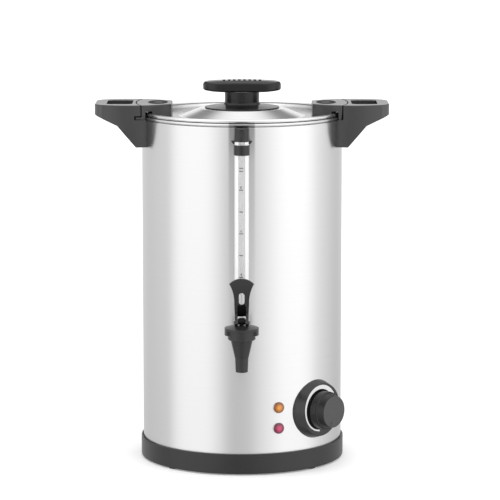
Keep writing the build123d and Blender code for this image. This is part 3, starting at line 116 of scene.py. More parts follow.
def operator(operation, swapped=False):
    """A method that adds one Math node. Swapped puts the socket second, as in 1 - socket."""
    def method(self, other=0.0):
        pair = (other, self) if swapped else (self, other)
        return self.tree.node("ShaderNodeMath", {"operation": operation}, *pair)
    return method


OPERATORS = {"add": "ADD", "sub": "SUBTRACT", "mul": "MULTIPLY", "truediv": "DIVIDE", "pow": "POWER"}
for short, operation in OPERATORS.items():
    setattr(Socket, f"__{short}__", operator(operation))
    setattr(Socket, f"__r{short}__", operator(operation, swapped=True))
Socket.__abs__ = operator("ABSOLUTE")
print("operators:", ", ".join(OPERATORS), "and abs")

# %% [markdown]
# The tree has one method that makes any node. A node's options, such as the operation of a Math node, are set
# first, because they decide which sockets it has.


# %% A tree that makes nodes
class Tree:
    """A node tree with one method that makes any node."""

    def __init__(self, node_tree):
        self.node_tree = node_tree

    def node(self, kind, settings, *values, output=0, **named):
        """Makes a node: options first, then its sockets by order or by name. stops fills a colour ramp."""
        made = self.node_tree.nodes.new(kind)
        for key, value in settings.items():
            if key == "stops":
                self.fill_ramp(made.color_ramp, value)
            else:
                setattr(made, key, value)
        for socket, value in zip(made.inputs, values):
            self.fill(socket, value)
        for key, value in named.items():
            self.fill(made.inputs[key], value)
        return Socket(self, made.outputs[output])

    def fill(self, socket, value):
        if isinstance(value, Socket):
            self.node_tree.links.new(value.output, socket)
        else:
            socket.default_value = value

    @staticmethod
    def fill_ramp(ramp, stops):
        while len(ramp.elements) < len(stops):
            ramp.elements.new(1.0)
        for element, (place, level) in zip(ramp.elements, stops):
            element.position = place
            element.color = grey(level)

    def xyz(self, vector):
        """The three numbers of a vector."""
        return [self.node("ShaderNodeSeparateXYZ", {}, vector, output=i) for i in range(3)]

    def mix(self, factor, first, second):
        """Colour mix: first where factor is 0, second where it is 1."""
        made = self.node_tree.nodes.new("ShaderNodeMix")
        made.data_type = "RGBA"
        self.fill(made.inputs[0], factor)
        self.fill(made.inputs[6], first)
        self.fill(made.inputs[7], second)
        return Socket(self, made.outputs[2])


def grey(level):
    return (level, level, level, 1.0)


# %% [markdown]
# ## Studio light
# A product like this is lit by tall soft boxes, left and right of the camera. The upright steel wall turns
# them into bright bands, with a dimmer band between them where it mirrors the gap that the camera looks
# through. The room is a function of two angles: how far round a direction is from the camera's side, and
# how high it is. One ramp holds the brightness all round the room, from the far side over the left hand to
# the camera and on over the right hand. The camera itself sees plain white, like paper.

# %% Studio light
ROOM = ((0.0, 0.85), (0.10, 0.80), (0.16, 0.85), (0.24, 0.92), (0.262, 1.22), (0.29, 1.42), (0.385, 1.45),
        (0.42, 1.24), (0.448, 0.96), (0.466, 0.78), (0.50, 0.82), (0.528, 0.87), (0.546, 1.06), (0.59, 1.3),
        (0.63, 1.52), (0.70, 1.56), (0.735, 1.45), (0.765, 1.16), (0.80, 1.0), (0.85, 0.85), (0.90, 0.74),
        (1.0, 0.85))
BELOW = 0.58  # share of the light that is left well below the horizon
BEHIND = 1.05  # the pale sheet behind the urn
BESIDE_SHEET = 0.26  # the unlit room above and beside that sheet
CEILING = ((0.0, 0.26), (0.60, 0.26), (0.69, 1.05), (0.78, 1.3), (0.97, 1.75), (1.0, 1.75))

world = bpy.data.worlds.new("studio")
bpy.context.scene.world = world
world.use_nodes = True
room = Tree(world.node_tree)
direction = room.node("ShaderNodeTexCoord", {}, output=0)
room_x, room_y, room_z = room.xyz(direction)
around = room.node("ShaderNodeMath", {"operation": "ARCTAN2"}, room_x, 0.0 - room_y) / (2 * math.pi) + 0.5
round_room = room.node("ShaderNodeValToRGB", {"stops": ROOM}, around)
shade = BELOW + (1 - BELOW) * room_z.step(-0.38, -0.06)
side_light = room.node("ShaderNodeVectorMath", {"operation": "SCALE"}, round_room, Scale=shade)
far_side = room_y.step(0.40, 0.70) * room_z.step(0.02, 0.12)
sheet_behind = far_side * (1 - abs(room_x).step(0.13, 0.24)) * (1 - room_z.step(0.28, 0.42))
walls = room.mix(far_side, side_light, grey(BESIDE_SHEET))
walls = room.mix(sheet_behind, walls, grey(BEHIND))
ceiling = room.node("ShaderNodeValToRGB", {"stops": CEILING}, room_z)
seen = room.mix(room_z.step(0.56, 0.64), walls, ceiling)
by_camera = room.node("ShaderNodeLightPath", {}, output=0)
background = world.node_tree.nodes["Background"]
room.fill(background.inputs["Color"], room.mix(by_camera, seen, grey(1.0)))
room.fill(background.inputs["Strength"], 1.0)
print("room stops:", len(ROOM))

# %% [markdown]
# The floor is a pale sheet. It is kept out of glossy reflections, so that the steel mirrors the room's bands
# instead of the floor between it and the camera, as a raised table in a studio would give.

# %% Floor
FLOOR_SIZE = 30.0
PAPER = 0.90
GLOW = 0.22  # light that comes through the sheet from below, which thins the shadow

half = FLOOR_SIZE / 2
floor_mesh = bpy.data.meshes.new("floor")
floor_corners = [(-half, -half, 0), (half, -half, 0), (half, half, 0), (-half, half, 0)]
floor_mesh.from_pydata(floor_corners, [], [(0, 1, 2, 3)])
floor = bpy.data.objects.new("floor", floor_mesh)
bpy.context.collection.objects.link(floor)
floor.visible_glossy = False
paper = bpy.data.materials.new("paper")
paper.use_nodes = True
sheet_look = paper.node_tree.nodes["Principled BSDF"].inputs
sheet_look["Base Color"].default_value = grey(PAPER)
sheet_look["Roughness"].default_value = 0.9
sheet_look["Emission Color"].default_value = grey(1.0)
sheet_look["Emission Strength"].default_value = GLOW
floor_mesh.materials.append(paper)
print("floor:", FLOOR_SIZE, "m wide")

# %% [markdown]
# ## Materials
# Every finish on the urn is one of a few families: brushed steel, turned steel, black moulded plastic,
# clear plastic and rubber. Each family is a function, so that its members differ only in their numbers. The
# patterns read the object's own coordinates, which are metres from the urn's axis, so a grain of 1200 cells
# per metre is a grain of 0.8 mm.


# %% A material with its tree
class Finish(Tree):
    """A material: put() writes its shader's sockets by name, from numbers, colours or sockets."""

    def __init__(self, name):
        self.material = bpy.data.materials.new(name)
        self.material.use_nodes = True
        super().__init__(self.material.node_tree)
        self.shader = self.node_tree.nodes["Principled BSDF"]
        self.place = self.node("ShaderNodeTexCoord", {}, output=3)

    def put(self, **sockets):
        for name, value in sockets.items():
            self.fill(self.shader.inputs[name.replace("_", " ").title().replace("Ior", "IOR")], value)
        return self.material

    def stretched(self, x, y, z):
        """The object's coordinates, scaled along each axis."""
        return self.node("ShaderNodeMapping", {}, self.place, Scale=(x, y, z))

    def noise(self, scale, detail=2.0, place=None):
        place = place or self.place
        return self.node("ShaderNodeTexNoise", {}, Vector=place, Scale=scale, Detail=detail, Roughness=0.55)

    def bump(self, height, strength, distance):
        return self.node("ShaderNodeBump", {}, Strength=strength, Distance=distance, Height=height)


# %% [markdown]
# ### Steel
# Sheet steel for an urn is brushed while it turns, so its scratches run round the axis. A scratch spreads a
# reflection across itself: the room's bands stay crisp from side to side and are drawn out up and down. The
# shader does that with anisotropy, turned a quarter because its tangent runs round the axis. A noise that
# changes a thousand times faster with height than along the scratch gives the grain itself.


# %% Brushed steel
def scratches(steel, lines):
    """The place, the distance from the axis and a grain. The grain changes fast with height plus distance, so
    it makes level lines on an upright wall and circles on a flat lid, and slowly along X and Y."""
    x, y, z = steel.xyz(steel.place)
    reach = (x * x + y * y) ** 0.5
    along = steel.node("ShaderNodeCombineXYZ", {}, x * 9.0, y * 9.0, (z + reach) * lines)
    return x, y, z, reach, steel.noise(1.0, 3.0, along)


def brushed_steel(name, level, rough, lines, depth, stretch=0.75, gauge_strip=None):
    """Steel brushed round the axis, a little duller in slow patches. With a gauge strip, shade is painted
    into its colour beside the gauge.
    """
    steel = Finish(name)
    x, y, z, _, grain = scratches(steel, lines)
    haze = steel.noise(14.0, 2.0)
    colour = steel.mix(grain, grey(level - 0.03), grey(level + 0.02))
    if gauge_strip:
        # painted shade on the steel beside the gauge
        colour = dull_beside(steel, colour, x, y, z, *gauge_strip)
    steel.put(Base_Color=colour, Metallic=1.0, Roughness=rough + (grain - 0.5) * 0.10 + (haze - 0.5) * 0.03,
              Anisotropic=stretch, Anisotropic_Rotation=0.25, Normal=steel.bump(grain, 0.12, depth))
    return steel.material


def dull_beside(steel, colour, x, y, z, half, foot, top):
    """Painted shade: darkens a steel colour on the front, in a strip of the given half width about x = 0: not
    at all at its foot, by a third near its top and by half just under it."""
    strip = (1 - abs(x).step(half - 1.5 * MM, half + 1.5 * MM)) * (1 - y.step(-0.05, 0.05))
    rise = ((z - foot) / (top - foot)).step(-0.3, 1.3) * 0.31 + z.step(top - 40 * MM, top) * 0.22
    return steel.mix(strip * rise, colour, grey(0.0))


# %% [markdown]
# The lid is spun, not brushed, and polished, so its circles are finer. A flat disc with fine circles mirrors
# the room as rays from its middle, like a record does. Those rays are painted into the steel's colour, a
# painted reflection, as a noise of the direction alone, because a noise of x / r and y / r doesn't change
# along a ray.


# %% Steel of the lid and of small parts
def turned_lid(name, level, rough):
    """Polished sheet, spun on its axis. Fine circles spread each reflection outwards from the axis, so the
    flat pan shows a fan of dark and light rays, darkest to the left and the right; that fan is a painted
    reflection in the colour. The fillet inside the rim sees little of the room, and a thin dark line of
    painted shade is put there."""
    steel = Finish(name)
    x, y, z, reach, grain = scratches(steel, 900.0)
    ray = steel.node("ShaderNodeCombineXYZ", {}, x / reach, y / reach, 0.0)
    streaks = steel.noise(3.5, 3.0, ray)
    # painted reflection: a fan of dark and light rays on the flat pan
    pan = reach.step(71.0 * MM, 74.0 * MM) * (1 - reach.step(110.6 * MM, 111.2 * MM))
    fan = pan * abs(x / reach).step(0.15, 0.95) * (0.32 + streaks * 0.8)
    # painted shade: a thin dark ring at the fillet inside the rim
    at_height = z.step(400.6 * MM, 401.2 * MM) * (1 - z.step(401.6 * MM, 402.3 * MM))
    line = at_height * reach.step(104.0 * MM, 106.0 * MM) * (1 - reach.step(111.2 * MM, 111.6 * MM))
    steel.put(Base_Color=steel.mix(fan + line * 0.85, grey(level), grey(0.16)), Metallic=1.0,
              Roughness=rough + (grain - 0.5) * 0.05, Anisotropic=0.5, Anisotropic_Rotation=0.25)
    return steel.material


def plain_steel(name, level, rough, scale):
    """Drawn or turned steel with faint marks the same in every direction."""
    steel = Finish(name)
    marks = steel.noise(scale, 4.0)
    steel.put(Base_Color=steel.mix(marks, grey(level - 0.06), grey(level)), Metallic=1.0,
              Roughness=rough + (marks - 0.5) * 0.12, Normal=steel.bump(marks, 0.08, 0.0002))
    return steel.material


# %% [markdown]
# ### Plastic and rubber
# Moulded plastic copies the eroded skin of its mould, a grain of a few tenths of a millimetre. Where hands
# touch it, it turns a little smoother, in slow patches.


# %% Plastics and rubber
def moulded(name, level, rough, grain_scale, grain_depth, tint=(1.0, 1.0, 1.0), gloss=0.5):
    """Moulded plastic: a fine spark-eroded grain, and slow patches where hands have polished it."""
    plastic = Finish(name)
    grain = plastic.noise(grain_scale, 2.0)
    patches = plastic.noise(35.0, 3.0)
    dark = tuple(level * 0.9 * t for t in tint) + (1.0,)
    light = tuple(level * 1.1 * t for t in tint) + (1.0,)
    plastic.put(Base_Color=plastic.mix(patches, dark, light), Roughness=rough + (patches - 0.5) * 0.08,
                Normal=plastic.bump(grain, 0.25, grain_depth), Specular_IOR_Level=gloss)
    return plastic.material


def knob_plastic(name, azimuth, face, side_level, face_level, rough):
    """Dial knob: glossy dark sides and a matt, paler face. The darker sides and the paler face are partly the
    knob's own tones and partly painted shade on the sides, where the bezel and the wall keep light off. The
    distance out of the wall is the dot product of the place with the dial's direction."""
    plastic = Finish(name)
    a = math.radians(azimuth)
    x, y, _ = plastic.xyz(plastic.place)
    # the face is matt and paler; the sides' darker colour is partly painted shade
    matt_lit_face = (x * math.sin(a) - y * math.cos(a)).step(face - 0.3 * MM, face)
    colour = plastic.mix(matt_lit_face, grey(side_level), grey(face_level))
    grain = plastic.noise(2600.0, 2.0)
    plastic.put(Base_Color=colour, Roughness=rough + matt_lit_face * 0.2, Normal=plastic.bump(grain, 0.25, 0.00003),
                Specular_IOR_Level=0.4)
    return plastic.material


# %% [markdown]
# ### Clear plastic
# A thin clear tube is nearly invisible where it is seen face on, and turns white towards its edges, where the
# line of sight runs along its wall. A real refracting material needs many light paths to show that, so the
# finish changes its alpha instead: a smooth step from the middle to the edge. The facing angle of a tube of
# radius R at a distance x from its middle line is 1 - sqrt(1 - (x/R)^2), so the step falls at a known x.


# %% Clear plastic
def clear(name, level, face_on, edge_on, turn_from, turn_to, painted_glow=0.0):
    """Clear tube: alpha face_on up to the facing angle turn_from, and edge_on from turn_to outwards. Its
    colour is a little darker close to the edge. Its glow is an emission, painted light."""
    shell = Finish(name)
    facing = shell.node("ShaderNodeLayerWeight", {}, Blend=0.5, output=1)
    streaks = shell.noise(1.0, 2.0, shell.stretched(60.0, 60.0, 4.0))
    colour = shell.mix(facing.step(0.30, 1.0), grey(level), grey(0.7 * level))
    alpha = face_on + (edge_on - face_on) * facing.step(turn_from, turn_to)
    # the emission is painted light, not a lamp
    shell.put(Base_Color=colour, Roughness=0.12 + (streaks - 0.5) * 0.04, Alpha=alpha,
              Emission_Color=grey(1.0), Emission_Strength=painted_glow)
    return shell.material


# %% [markdown]
# ### Pilot lamps
# A pilot lamp is a small dome of tinted plastic, ribbed inside so that it scatters the light. The middle,
# over the bulb, is paler than the rim. The distance from the lamp's own axis sets the colour, and rings of
# the same distance are the ribs.


# %% Lamp lenses
def lamp_lens(name, middle, core, rim, reach):
    """Tinted dome: colour from core to rim with the distance from the middle, over rings 1.1 mm apart."""
    lens = Finish(name)
    offset = lens.node("ShaderNodeMapping", {}, lens.place, Location=tuple(-m for m in middle))
    distance = lens.node("ShaderNodeVectorMath", {"operation": "LENGTH"}, offset, output=1) / reach
    ribs = lens.node("ShaderNodeMath", {"operation": "SINE"}, distance * 34.0)
    speck = lens.noise(1400.0, 1.0)
    tone = distance.step(0.16, 0.98) + ribs * 0.06 + (speck - 0.5) * 0.30
    lens.put(Base_Color=lens.mix(tone, core, rim), Roughness=0.12, Coat_Weight=0.6,
             Normal=lens.bump(ribs, 0.3, 0.0001))
    return lens.material


# %% [markdown]
# ### All finishes
# The gauge's cover stands close to the wall and keeps light off the strip of steel behind it. A path tracer
# finds only part of that through a see-through cover, so shade is painted into the wall's colour there, more
# so towards the black holder at the top.

# %% Finishes by material slot
# half width, foot and top of the strip of painted shade beside the gauge
GAUGE_STRIP = (14.5 * MM, 190 * MM, 392 * MM)
SLOTS = {
    "brushed_steel": (brushed_steel, 0.80, 0.30, 1300.0, 0.00004, 0.75, GAUGE_STRIP),
    "bright_steel": (brushed_steel, 0.82, 0.22, 900.0, 0.000004, 0.4),
    "hardware_steel": (plain_steel, 0.62, 0.35, 400.0),
    "black_plastic": (moulded, 0.022, 0.30, 2600.0, 0.00005),
    "tap_plastic": (moulded, 0.018, 0.34, 3200.0, 0.00003),
    "grey_face": (moulded, 0.045, 0.45, 3000.0, 0.00004),
    "white_plastic": (moulded, 0.75, 0.45, 2500.0, 0.00004, (1.0, 0.98, 0.93)),
    # the last number of a clear finish is an emission, painted light
    "clear_plastic": (clear, 0.85, 0.05, 0.97, 0.108, 0.145, 0.01),
    "gauge_glass": (clear, 0.90, 0.82, 0.60, 0.05, 0.35, 0.11),
    "silicone": (moulded, 0.62, 0.55, 1800.0, 0.00003, (1.0, 0.99, 0.95)),
    "foot_rubber": (moulded, 0.03, 0.7, 1500.0, 0.00008),
    "lamp_trim": (plain_steel, 0.85, 0.18, 500.0),
    "silver_scale": (plain_steel, 0.85, 0.35, 900.0),
    "aluminium": (plain_steel, 0.7, 0.4, 300.0),
    "element_sheath": (plain_steel, 0.3, 0.5, 200.0),
    "brass": (plain_steel, 0.6, 0.3, 400.0),
}
FINISHES = {slot: family(slot, *numbers) for slot, (family, *numbers) in SLOTS.items()}
LENS_REACH = 6.3 * MM
LENSES = {"amber_lens": ("pilot_lamp_amber", (0.82, 0.32, 0.03, 1.0), (0.20, 0.05, 0.004, 1.0)),
          "red_lens": ("pilot_lamp_red", (0.66, 0.045, 0.15, 1.0), (0.10, 0.006, 0.025, 1.0))}
for slot, (node, core, rim) in LENSES.items():
    middle = tuple((a + b) / 2 for a, b in zip(*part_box(node)))
    FINISHES[slot] = lamp_lens(slot, middle, core, rim, LENS_REACH)
print("finishes by slot:", len(FINISHES))

# %% [markdown]
# Pieces of one slot can still differ: the gauge's holder is glossier than the tap, and the handles are a
# little paler than the base. Those get a finish of their own. Three more finishes are for some faces only.

# %% Finishes of single pieces
OWN_FINISH = {
    "lid_cover": turned_lid("lid_steel", 0.82, 0.20),
    "tap_stem": moulded("stem_plastic", 0.004, 0.45, 2600.0, 0.00002, gloss=0.25),
    "gauge_holder": moulded("gauge_plastic", 0.002, 0.16, 2600.0, 0.00001, gloss=0.58),
    "handle_left": moulded("handle_plastic", 0.036, 0.23, 2400.0, 0.00005),
    "base_ring": moulded("base_plastic", 0.016, 0.32, 2600.0, 0.00005),
    "lid_knob_grip": moulded("knob_plastic", 0.003, 0.25, 2600.0, 0.00003, gloss=0.42),
    # the knob's darker sides are partly painted shade
    "thermostat_knob": knob_plastic("dial_plastic", 47.0, 142.9 * MM, 0.009, 0.068, 0.36),
}
POLISH_AND_SHEEN = moulded("polish_and_sheen_plastic", 0.02, 0.15, 2600.0, 0.00001)  # the top of the grip: smoother, and paler, which is a painted sheen
PAINTED_SHADE = moulded("painted_shade_plastic", 0.003, 0.8, 2600.0, 0.00001, gloss=0.1)  # painted shade on the insides of narrow recesses
END_HIGHLIGHT = moulded("end_highlight_plastic", 0.055, 0.24, 2400.0, 0.00003)  # the handles' ends: a paler colour, a painted highlight
SAME_AS = {"gauge_collar": "gauge_holder", "handle_right": "handle_left", "lid_ear_left": "handle_left",
           "lid_ear_right": "handle_left", "lid_knob_stem": "lid_knob_grip"}


def finish_of(node, slot):
    """A node's own finish, or the finish of its slot."""
    return OWN_FINISH.get(SAME_AS.get(node, node), FINISHES[slot])


for subpart in frame["record"]["subparts"]:
    mesh = frame["nodes"][subpart["node"]].data
    mesh.materials.clear()
    mesh.materials.append(finish_of(subpart["node"], subpart["material_slot"]))
print("finishes of their own:", len(OWN_FINISH))

# %% [markdown]
# ## Surfaces from formulas
# A pressed or moulded round piece is an outline turned about an axis. An outline is a few corner points; the
# press or the mould gives each corner a radius. All of it is array arithmetic: a grid of points with two
# parameters, along the outline and round the axis.


# %% Outlines with round corners
def rounded(corners, radii, closed=True, steps=6):
    """Gives each corner P a true arc. The arc meets its two sides at r * tan(half the turn) from P, and its
    points are the mean of both ends and P with weights (1-t)^2, t^2 and 2t(1-t) * cos(half the turn). One
    more point on each side keeps the flat beside the arc flat when it is shaded."""
    corner = np.asarray(corners, float)
    radius = np.zeros(len(corner)) + radii
    if not closed:
        radius[[0, -1]] = 0.0
    before = corner - np.roll(corner, 1, axis=0)
    after = np.roll(before, -1, axis=0)
    run = np.minimum(np.linalg.norm(before, axis=1), np.linalg.norm(after, axis=1))
    way_in = before / np.linalg.norm(before, axis=1, keepdims=True)
    way_out = after / np.linalg.norm(after, axis=1, keepdims=True)
    half = np.arccos(np.clip((way_in * way_out).sum(axis=1), -1.0, 1.0)) / 2
    reach = np.minimum(radius * np.tan(np.minimum(half, 1.5)), 0.45 * run)
    near = np.minimum(0.3 * reach + 0.15, 0.04 * run)
    start, end = corner - reach[:, None] * way_in, corner + reach[:, None] * way_out
    t = np.linspace(0.0, 1.0, steps)[None, :, None]
    pull = 2 * t * (1 - t) * np.cos(half)[:, None, None]
    arc = (1 - t) ** 2 * start[:, None] + pull * corner[:, None] + t ** 2 * end[:, None]
    arc = arc / ((1 - t) ** 2 + pull + t ** 2)
    first = (start - near[:, None] * way_in)[:, None]
    last = (end + near[:, None] * way_out)[:, None]
    line = np.concatenate([first, arc, last], axis=1).reshape(-1, 2)
    line = np.vstack([line, line[:1]]) if closed else line[1:-1]
    apart = np.linalg.norm(np.diff(line, axis=0), axis=1) > 1e-6
    return line[np.concatenate([[True], apart])]


def arc(middle, radius, start, sweep, steps=32):
    """Points of a circle: middle + r (cos a, sin a) for a from start to start + sweep, in degrees."""
    angle = np.radians(start + sweep * np.linspace(0.0, 1.0, steps))
    return np.asarray(middle) + radius * np.stack([np.cos(angle), np.sin(angle)], axis=1)


def oblong(left, foot, right, top):
    """The four corners of a rectangle, anticlockwise."""
    return np.array([(left, foot), (right, foot), (right, top), (left, top)])


print("oblong with round corners:", len(rounded(oblong(0, 0, 2, 1), 0.2)), "points")

# %% From outlines to grids
ROUND = 256


def turned(outline, axis=(0.0, 0.0), segments=ROUND):
    """Turns (radius, height) about a vertical axis: the point at angle a is (r cos a, r sin a, h)."""
    angle = np.linspace(0.0, 2 * np.pi, segments + 1)
    radius, height = outline[:, 0, None], outline[:, 1, None]
    grid = np.stack([radius * np.cos(angle), radius * np.sin(angle), height + 0 * angle], axis=-1)
    return grid + np.array([axis[0], axis[1], 0.0])


def shut(grid):
    """Closes a grid at its first and its last row, by one more row each that lies in the row's middle."""
    ends = grid.mean(axis=1, keepdims=True)[[0, -1]] + 0 * grid[[0, -1]]
    return np.concatenate([ends[:1], grid, ends[1:]])


def sheet(middle, thickness):
    """Closed outline of bent sheet: the middle line moved half the thickness to one side, and back along the
    other side. The side of each point is its direction turned by a quarter."""
    way = np.gradient(middle, axis=0)
    way = way / np.linalg.norm(way, axis=1, keepdims=True)
    side = np.stack([way[:, 1], -way[:, 0]], axis=1) * thickness / 2
    return np.concatenate([middle + side, (middle - side)[::-1], (middle + side)[:1]])


def on_wall(points, azimuth, height, radius):
    """Moves points drawn flat (x along the wall, y up, z out of it) to their place on the wall."""
    a = math.radians(azimuth)
    basis = np.array([(math.cos(a), math.sin(a), 0.0), (0.0, 0.0, 1.0), (math.sin(a), -math.cos(a), 0.0)])
    return points @ basis + radius * basis[2] + np.array([0.0, 0.0, height])


# %% [markdown]
# The grids become a mesh in one step. Where an outline starts on the axis, a whole row of points is one
# point, and where it goes all the way round, the last column is the first: merging doubles closes both.


# %% Grids into meshes
def quads(rows, columns):
    """The four corners of every cell of a grid of points, counted row by row."""
    index = np.arange(rows * columns).reshape(rows, columns)
    return np.stack([index[:-1, :-1], index[:-1, 1:], index[1:, 1:], index[1:, :-1]], axis=-1).reshape(-1, 4)


def points_of(mesh):
    """The points of a mesh as an array, in metres."""
    points = np.empty((len(mesh.vertices), 3), np.float32)
    mesh.vertices.foreach_get("co", points.ravel())
    return points


def tidy_mesh(mesh):
    """Merges doubles, drops what then has no face, and points every face outwards."""
    work = bmesh.new()
    work.from_mesh(mesh)
    bmesh.ops.remove_doubles(work, verts=work.verts, dist=1e-7)
    bmesh.ops.delete(work, geom=[edge for edge in work.edges if not edge.link_faces], context="EDGES")
    bmesh.ops.delete(work, geom=[vert for vert in work.verts if not vert.link_faces], context="VERTS")
    bmesh.ops.recalc_face_normals(work, faces=work.faces)
    work.to_mesh(mesh)
    work.free()
    mesh.shade_smooth()


def solid_of(*grids):
    """Closed mesh of grids of points in millimetres."""
    counts = np.cumsum([0] + [grid.shape[0] * grid.shape[1] for grid in grids])
    faces = np.concatenate([quads(*grid.shape[:2]) + first for grid, first in zip(grids, counts)])
    mesh = bpy.data.meshes.new("solid")
    mesh.from_pydata(np.concatenate([grid.reshape(-1, 3) for grid in grids]) * MM, [], faces)
    tidy_mesh(mesh)
    return mesh


# %% [markdown]
# A piece says which body it rides on, and which node it stands for. The print compares its box with that
# node's box, so a wrong number shows at once.


# %% Pieces on their bodies
def piece(name, slot, body, nodes, *grids):
    """Makes one object of grids of points in millimetres and puts it on its body."""
    mesh = solid_of(*grids)
    mesh.name = name
    return placed(name, slot, body, nodes, mesh)


def placed(name, slot, body, nodes, mesh):
    """Links a finished mesh: material, body, slot and the nodes that it stands for."""
    mesh.materials.append(finish_of(nodes[0], slot) if nodes else FINISHES[slot])
    made = bpy.data.objects.new(name, mesh)
    bpy.context.collection.objects.link(made)
    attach(made, body)
    note = ""
    if nodes:
        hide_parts(*nodes)
        points = points_of(mesh)
        boxes = np.array([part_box(node) for node in nodes])
        low, high = boxes[:, 0].min(axis=0), boxes[:, 1].max(axis=0)
        off = max(abs(points.min(axis=0) - low).max(), abs(points.max(axis=0) - high).max())
        note = f"box off by {off / MM:.2f} mm"
    print(name, len(mesh.polygons), "faces", note)
    return made


# %% [markdown]
# Some shapes are one solid cut by another. Blender's exact Boolean needs closed meshes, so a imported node,
# whose points are split along its sharp edges, is first rebuilt from its points and faces with the doubles
# merged. After the cut, edges sharper than thirty degrees are kept sharp, and weighted normals keep large
# flat faces flat.


# %% Cutting one solid with another
def copy_of(node):
    """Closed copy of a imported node's mesh: its points and triangles with the doubles merged."""
    source = frame["nodes"][node].data
    corners = np.empty(len(source.loops), np.int32)
    source.loops.foreach_get("vertex_index", corners)
    mesh = bpy.data.meshes.new(node)
    mesh.from_pydata(points_of(source), [], corners.reshape(-1, 3))
    tidy_mesh(mesh)
    return mesh


def baked(mesh, kind, **settings):
    """The mesh that a modifier makes of another mesh."""
    thing = bpy.data.objects.new("thing", mesh)
    bpy.context.collection.objects.link(thing)
    modifier = thing.modifiers.new(kind, kind)
    for key, value in settings.items():
        setattr(modifier, key, value)
    made = bpy.data.meshes.new_from_object(thing.evaluated_get(bpy.context.evaluated_depsgraph_get()))
    bpy.data.objects.remove(thing)
    return made


def combined(mesh, tool, operation="DIFFERENCE"):
    """Boolean of two closed meshes with clean shading."""
    knife = bpy.data.objects.new("knife", tool)
    bpy.context.collection.objects.link(knife)
    made = baked(mesh, "BOOLEAN", operation=operation, object=knife, solver="EXACT")
    bpy.data.objects.remove(knife)
    made.shade_smooth()
    made.set_sharp_from_angle(angle=math.radians(30))
    made = baked(made, "WEIGHTED_NORMAL", keep_sharp=True)
    made.materials.clear()
    return made


# %% [markdown]
# Some faces of a piece need a second finish: the inside of a narrow slot lies in shadow and gets painted
# shade, and a top or an end that catches the light gets a paler colour, painted light; the top that hands
# touch is also smoother. A second object would leave a seam there, so the faces only change their
# material. They are chosen by where they are and by which way they face.


# %% Faces with a second finish
def face_table(mesh):
    """Middle, in millimetres, and normal of every face, as arrays."""
    middles, normals = np.empty((2, len(mesh.polygons), 3), np.float32)
    mesh.polygons.foreach_get("center", middles.ravel())
    mesh.polygons.foreach_get("normal", normals.ravel())
    return middles / MM, normals


def refinish(made, chosen, finish):
    """Gives the chosen faces of a piece a second finish."""
    made.data.materials.append(finish)
    second = len(made.data.materials) - 1
    index = np.empty(len(chosen), np.int32)
    made.data.polygons.foreach_get("material_index", index)
    made.data.polygons.foreach_set("material_index", np.where(chosen, second, index).astype(np.int32))
    print(made.name, "second finish on", int(chosen.sum()), "faces")


# %% [markdown]
# Most of the tools that cut are prisms, because a slot or a gap has straight walls where its mould is drawn
# out. A prism's two ends shrink to one point each, so that the mesh is closed.


# %% Prism
def prism(outline, low, high, axis=2):
    """Closed prism: an outline of pairs of coordinates, carried from low to high along the third one. That is
    Z, or X with axis 0 and Y with axis 1. Both ends close on the outline's middle."""
    outline = np.vstack([outline, outline[:1]])
    middle = outline.mean(axis=0) + 0 * outline
    flat = np.stack([middle, outline, outline, middle])
    along = np.broadcast_to(np.array([low, low, high, high])[:, None, None], flat.shape[:2] + (1,))
    return np.insert(flat, [axis], along, axis=-1)


# %% [markdown]
# ## Tank wall
# The tank is one sheet of steel, rolled to a tube and welded. Its top edge steps in by about a millimetre
# and then curls outwards into a bead, which stiffens it and gives the lid a round edge to sit on. A tube
# with a thick rim would be quicker, but the curl is what catches the light, so the middle line of the sheet
# is drawn and thickened.

# %% Tank wall
BODY_R = 115.0
WALL = 1.0
WALL_FOOT = 7.5
STEP_LOW = 394.0
STEP_HIGH = 395.2
BEAD_Z = 397.0
BEAD_R = 1.1
BEAD_MIDDLE = 114.3
STEP_FILLET = 1.2

wall_middle = BODY_R - WALL / 2
rise = rounded([(wall_middle, WALL_FOOT), (wall_middle, STEP_LOW), (BEAD_MIDDLE - BEAD_R, STEP_HIGH),
                (BEAD_MIDDLE - BEAD_R, BEAD_Z)], STEP_FILLET, closed=False)
bead = arc((BEAD_MIDDLE, BEAD_Z), BEAD_R, 180.0, -270.0)
wall_line = sheet(np.concatenate([rise, bead[1:]]), WALL)
piece("wall_shell", "brushed_steel", "urn", ["tank_wall"], turned(wall_line))

# %% [markdown]
# ## Lid
# The lid is pressed from thinner sheet. From outside to inside it has a curled rim, a short skirt that drops
# into the tank, a flat pan and a low cone that stiffens the middle, where the knob is screwed on.

# %% Lid
LID_T = 0.8
CURL_R = 1.7
CURL_MIDDLE = 112.8
CURL_Z = 401.0
CURL_DROP = 1.2  # the curl's inner side goes down this far
SHOULDER_DROP = 2.6  # and meets the skirt this far below the curl's middle
SKIRT_MIDDLE = 109.6
PAN_Z = 396.8
CONE_FOOT_R = 71.2
CONE_TOP_R = 48.2
CONE_TOP_Z = 405.5
LID_BORE = 3.6
LID_FILLET = 0.9

curl_in = CURL_MIDDLE - CURL_R
curl = arc((CURL_MIDDLE, CURL_Z), CURL_R, -90.0, 270.0)
pan = rounded([(curl_in, CURL_Z), (curl_in, CURL_Z - CURL_DROP), (SKIRT_MIDDLE, CURL_Z - SHOULDER_DROP),
               (SKIRT_MIDDLE, PAN_Z), (CONE_FOOT_R, PAN_Z), (CONE_TOP_R, CONE_TOP_Z), (LID_BORE, CONE_TOP_Z)],
              LID_FILLET, closed=False)
lid_line = sheet(np.concatenate([curl, pan[1:]]), LID_T)
piece("lid_shell", "bright_steel", "lid", ["lid_cover"], turned(lid_line))

# %% [markdown]
# ## Base ring
# A moulded ring holds the wall's foot and hides its cut edge. At the top a narrow gap is left between ring
# and wall: a straight shadow line looks neater than two surfaces that almost meet.

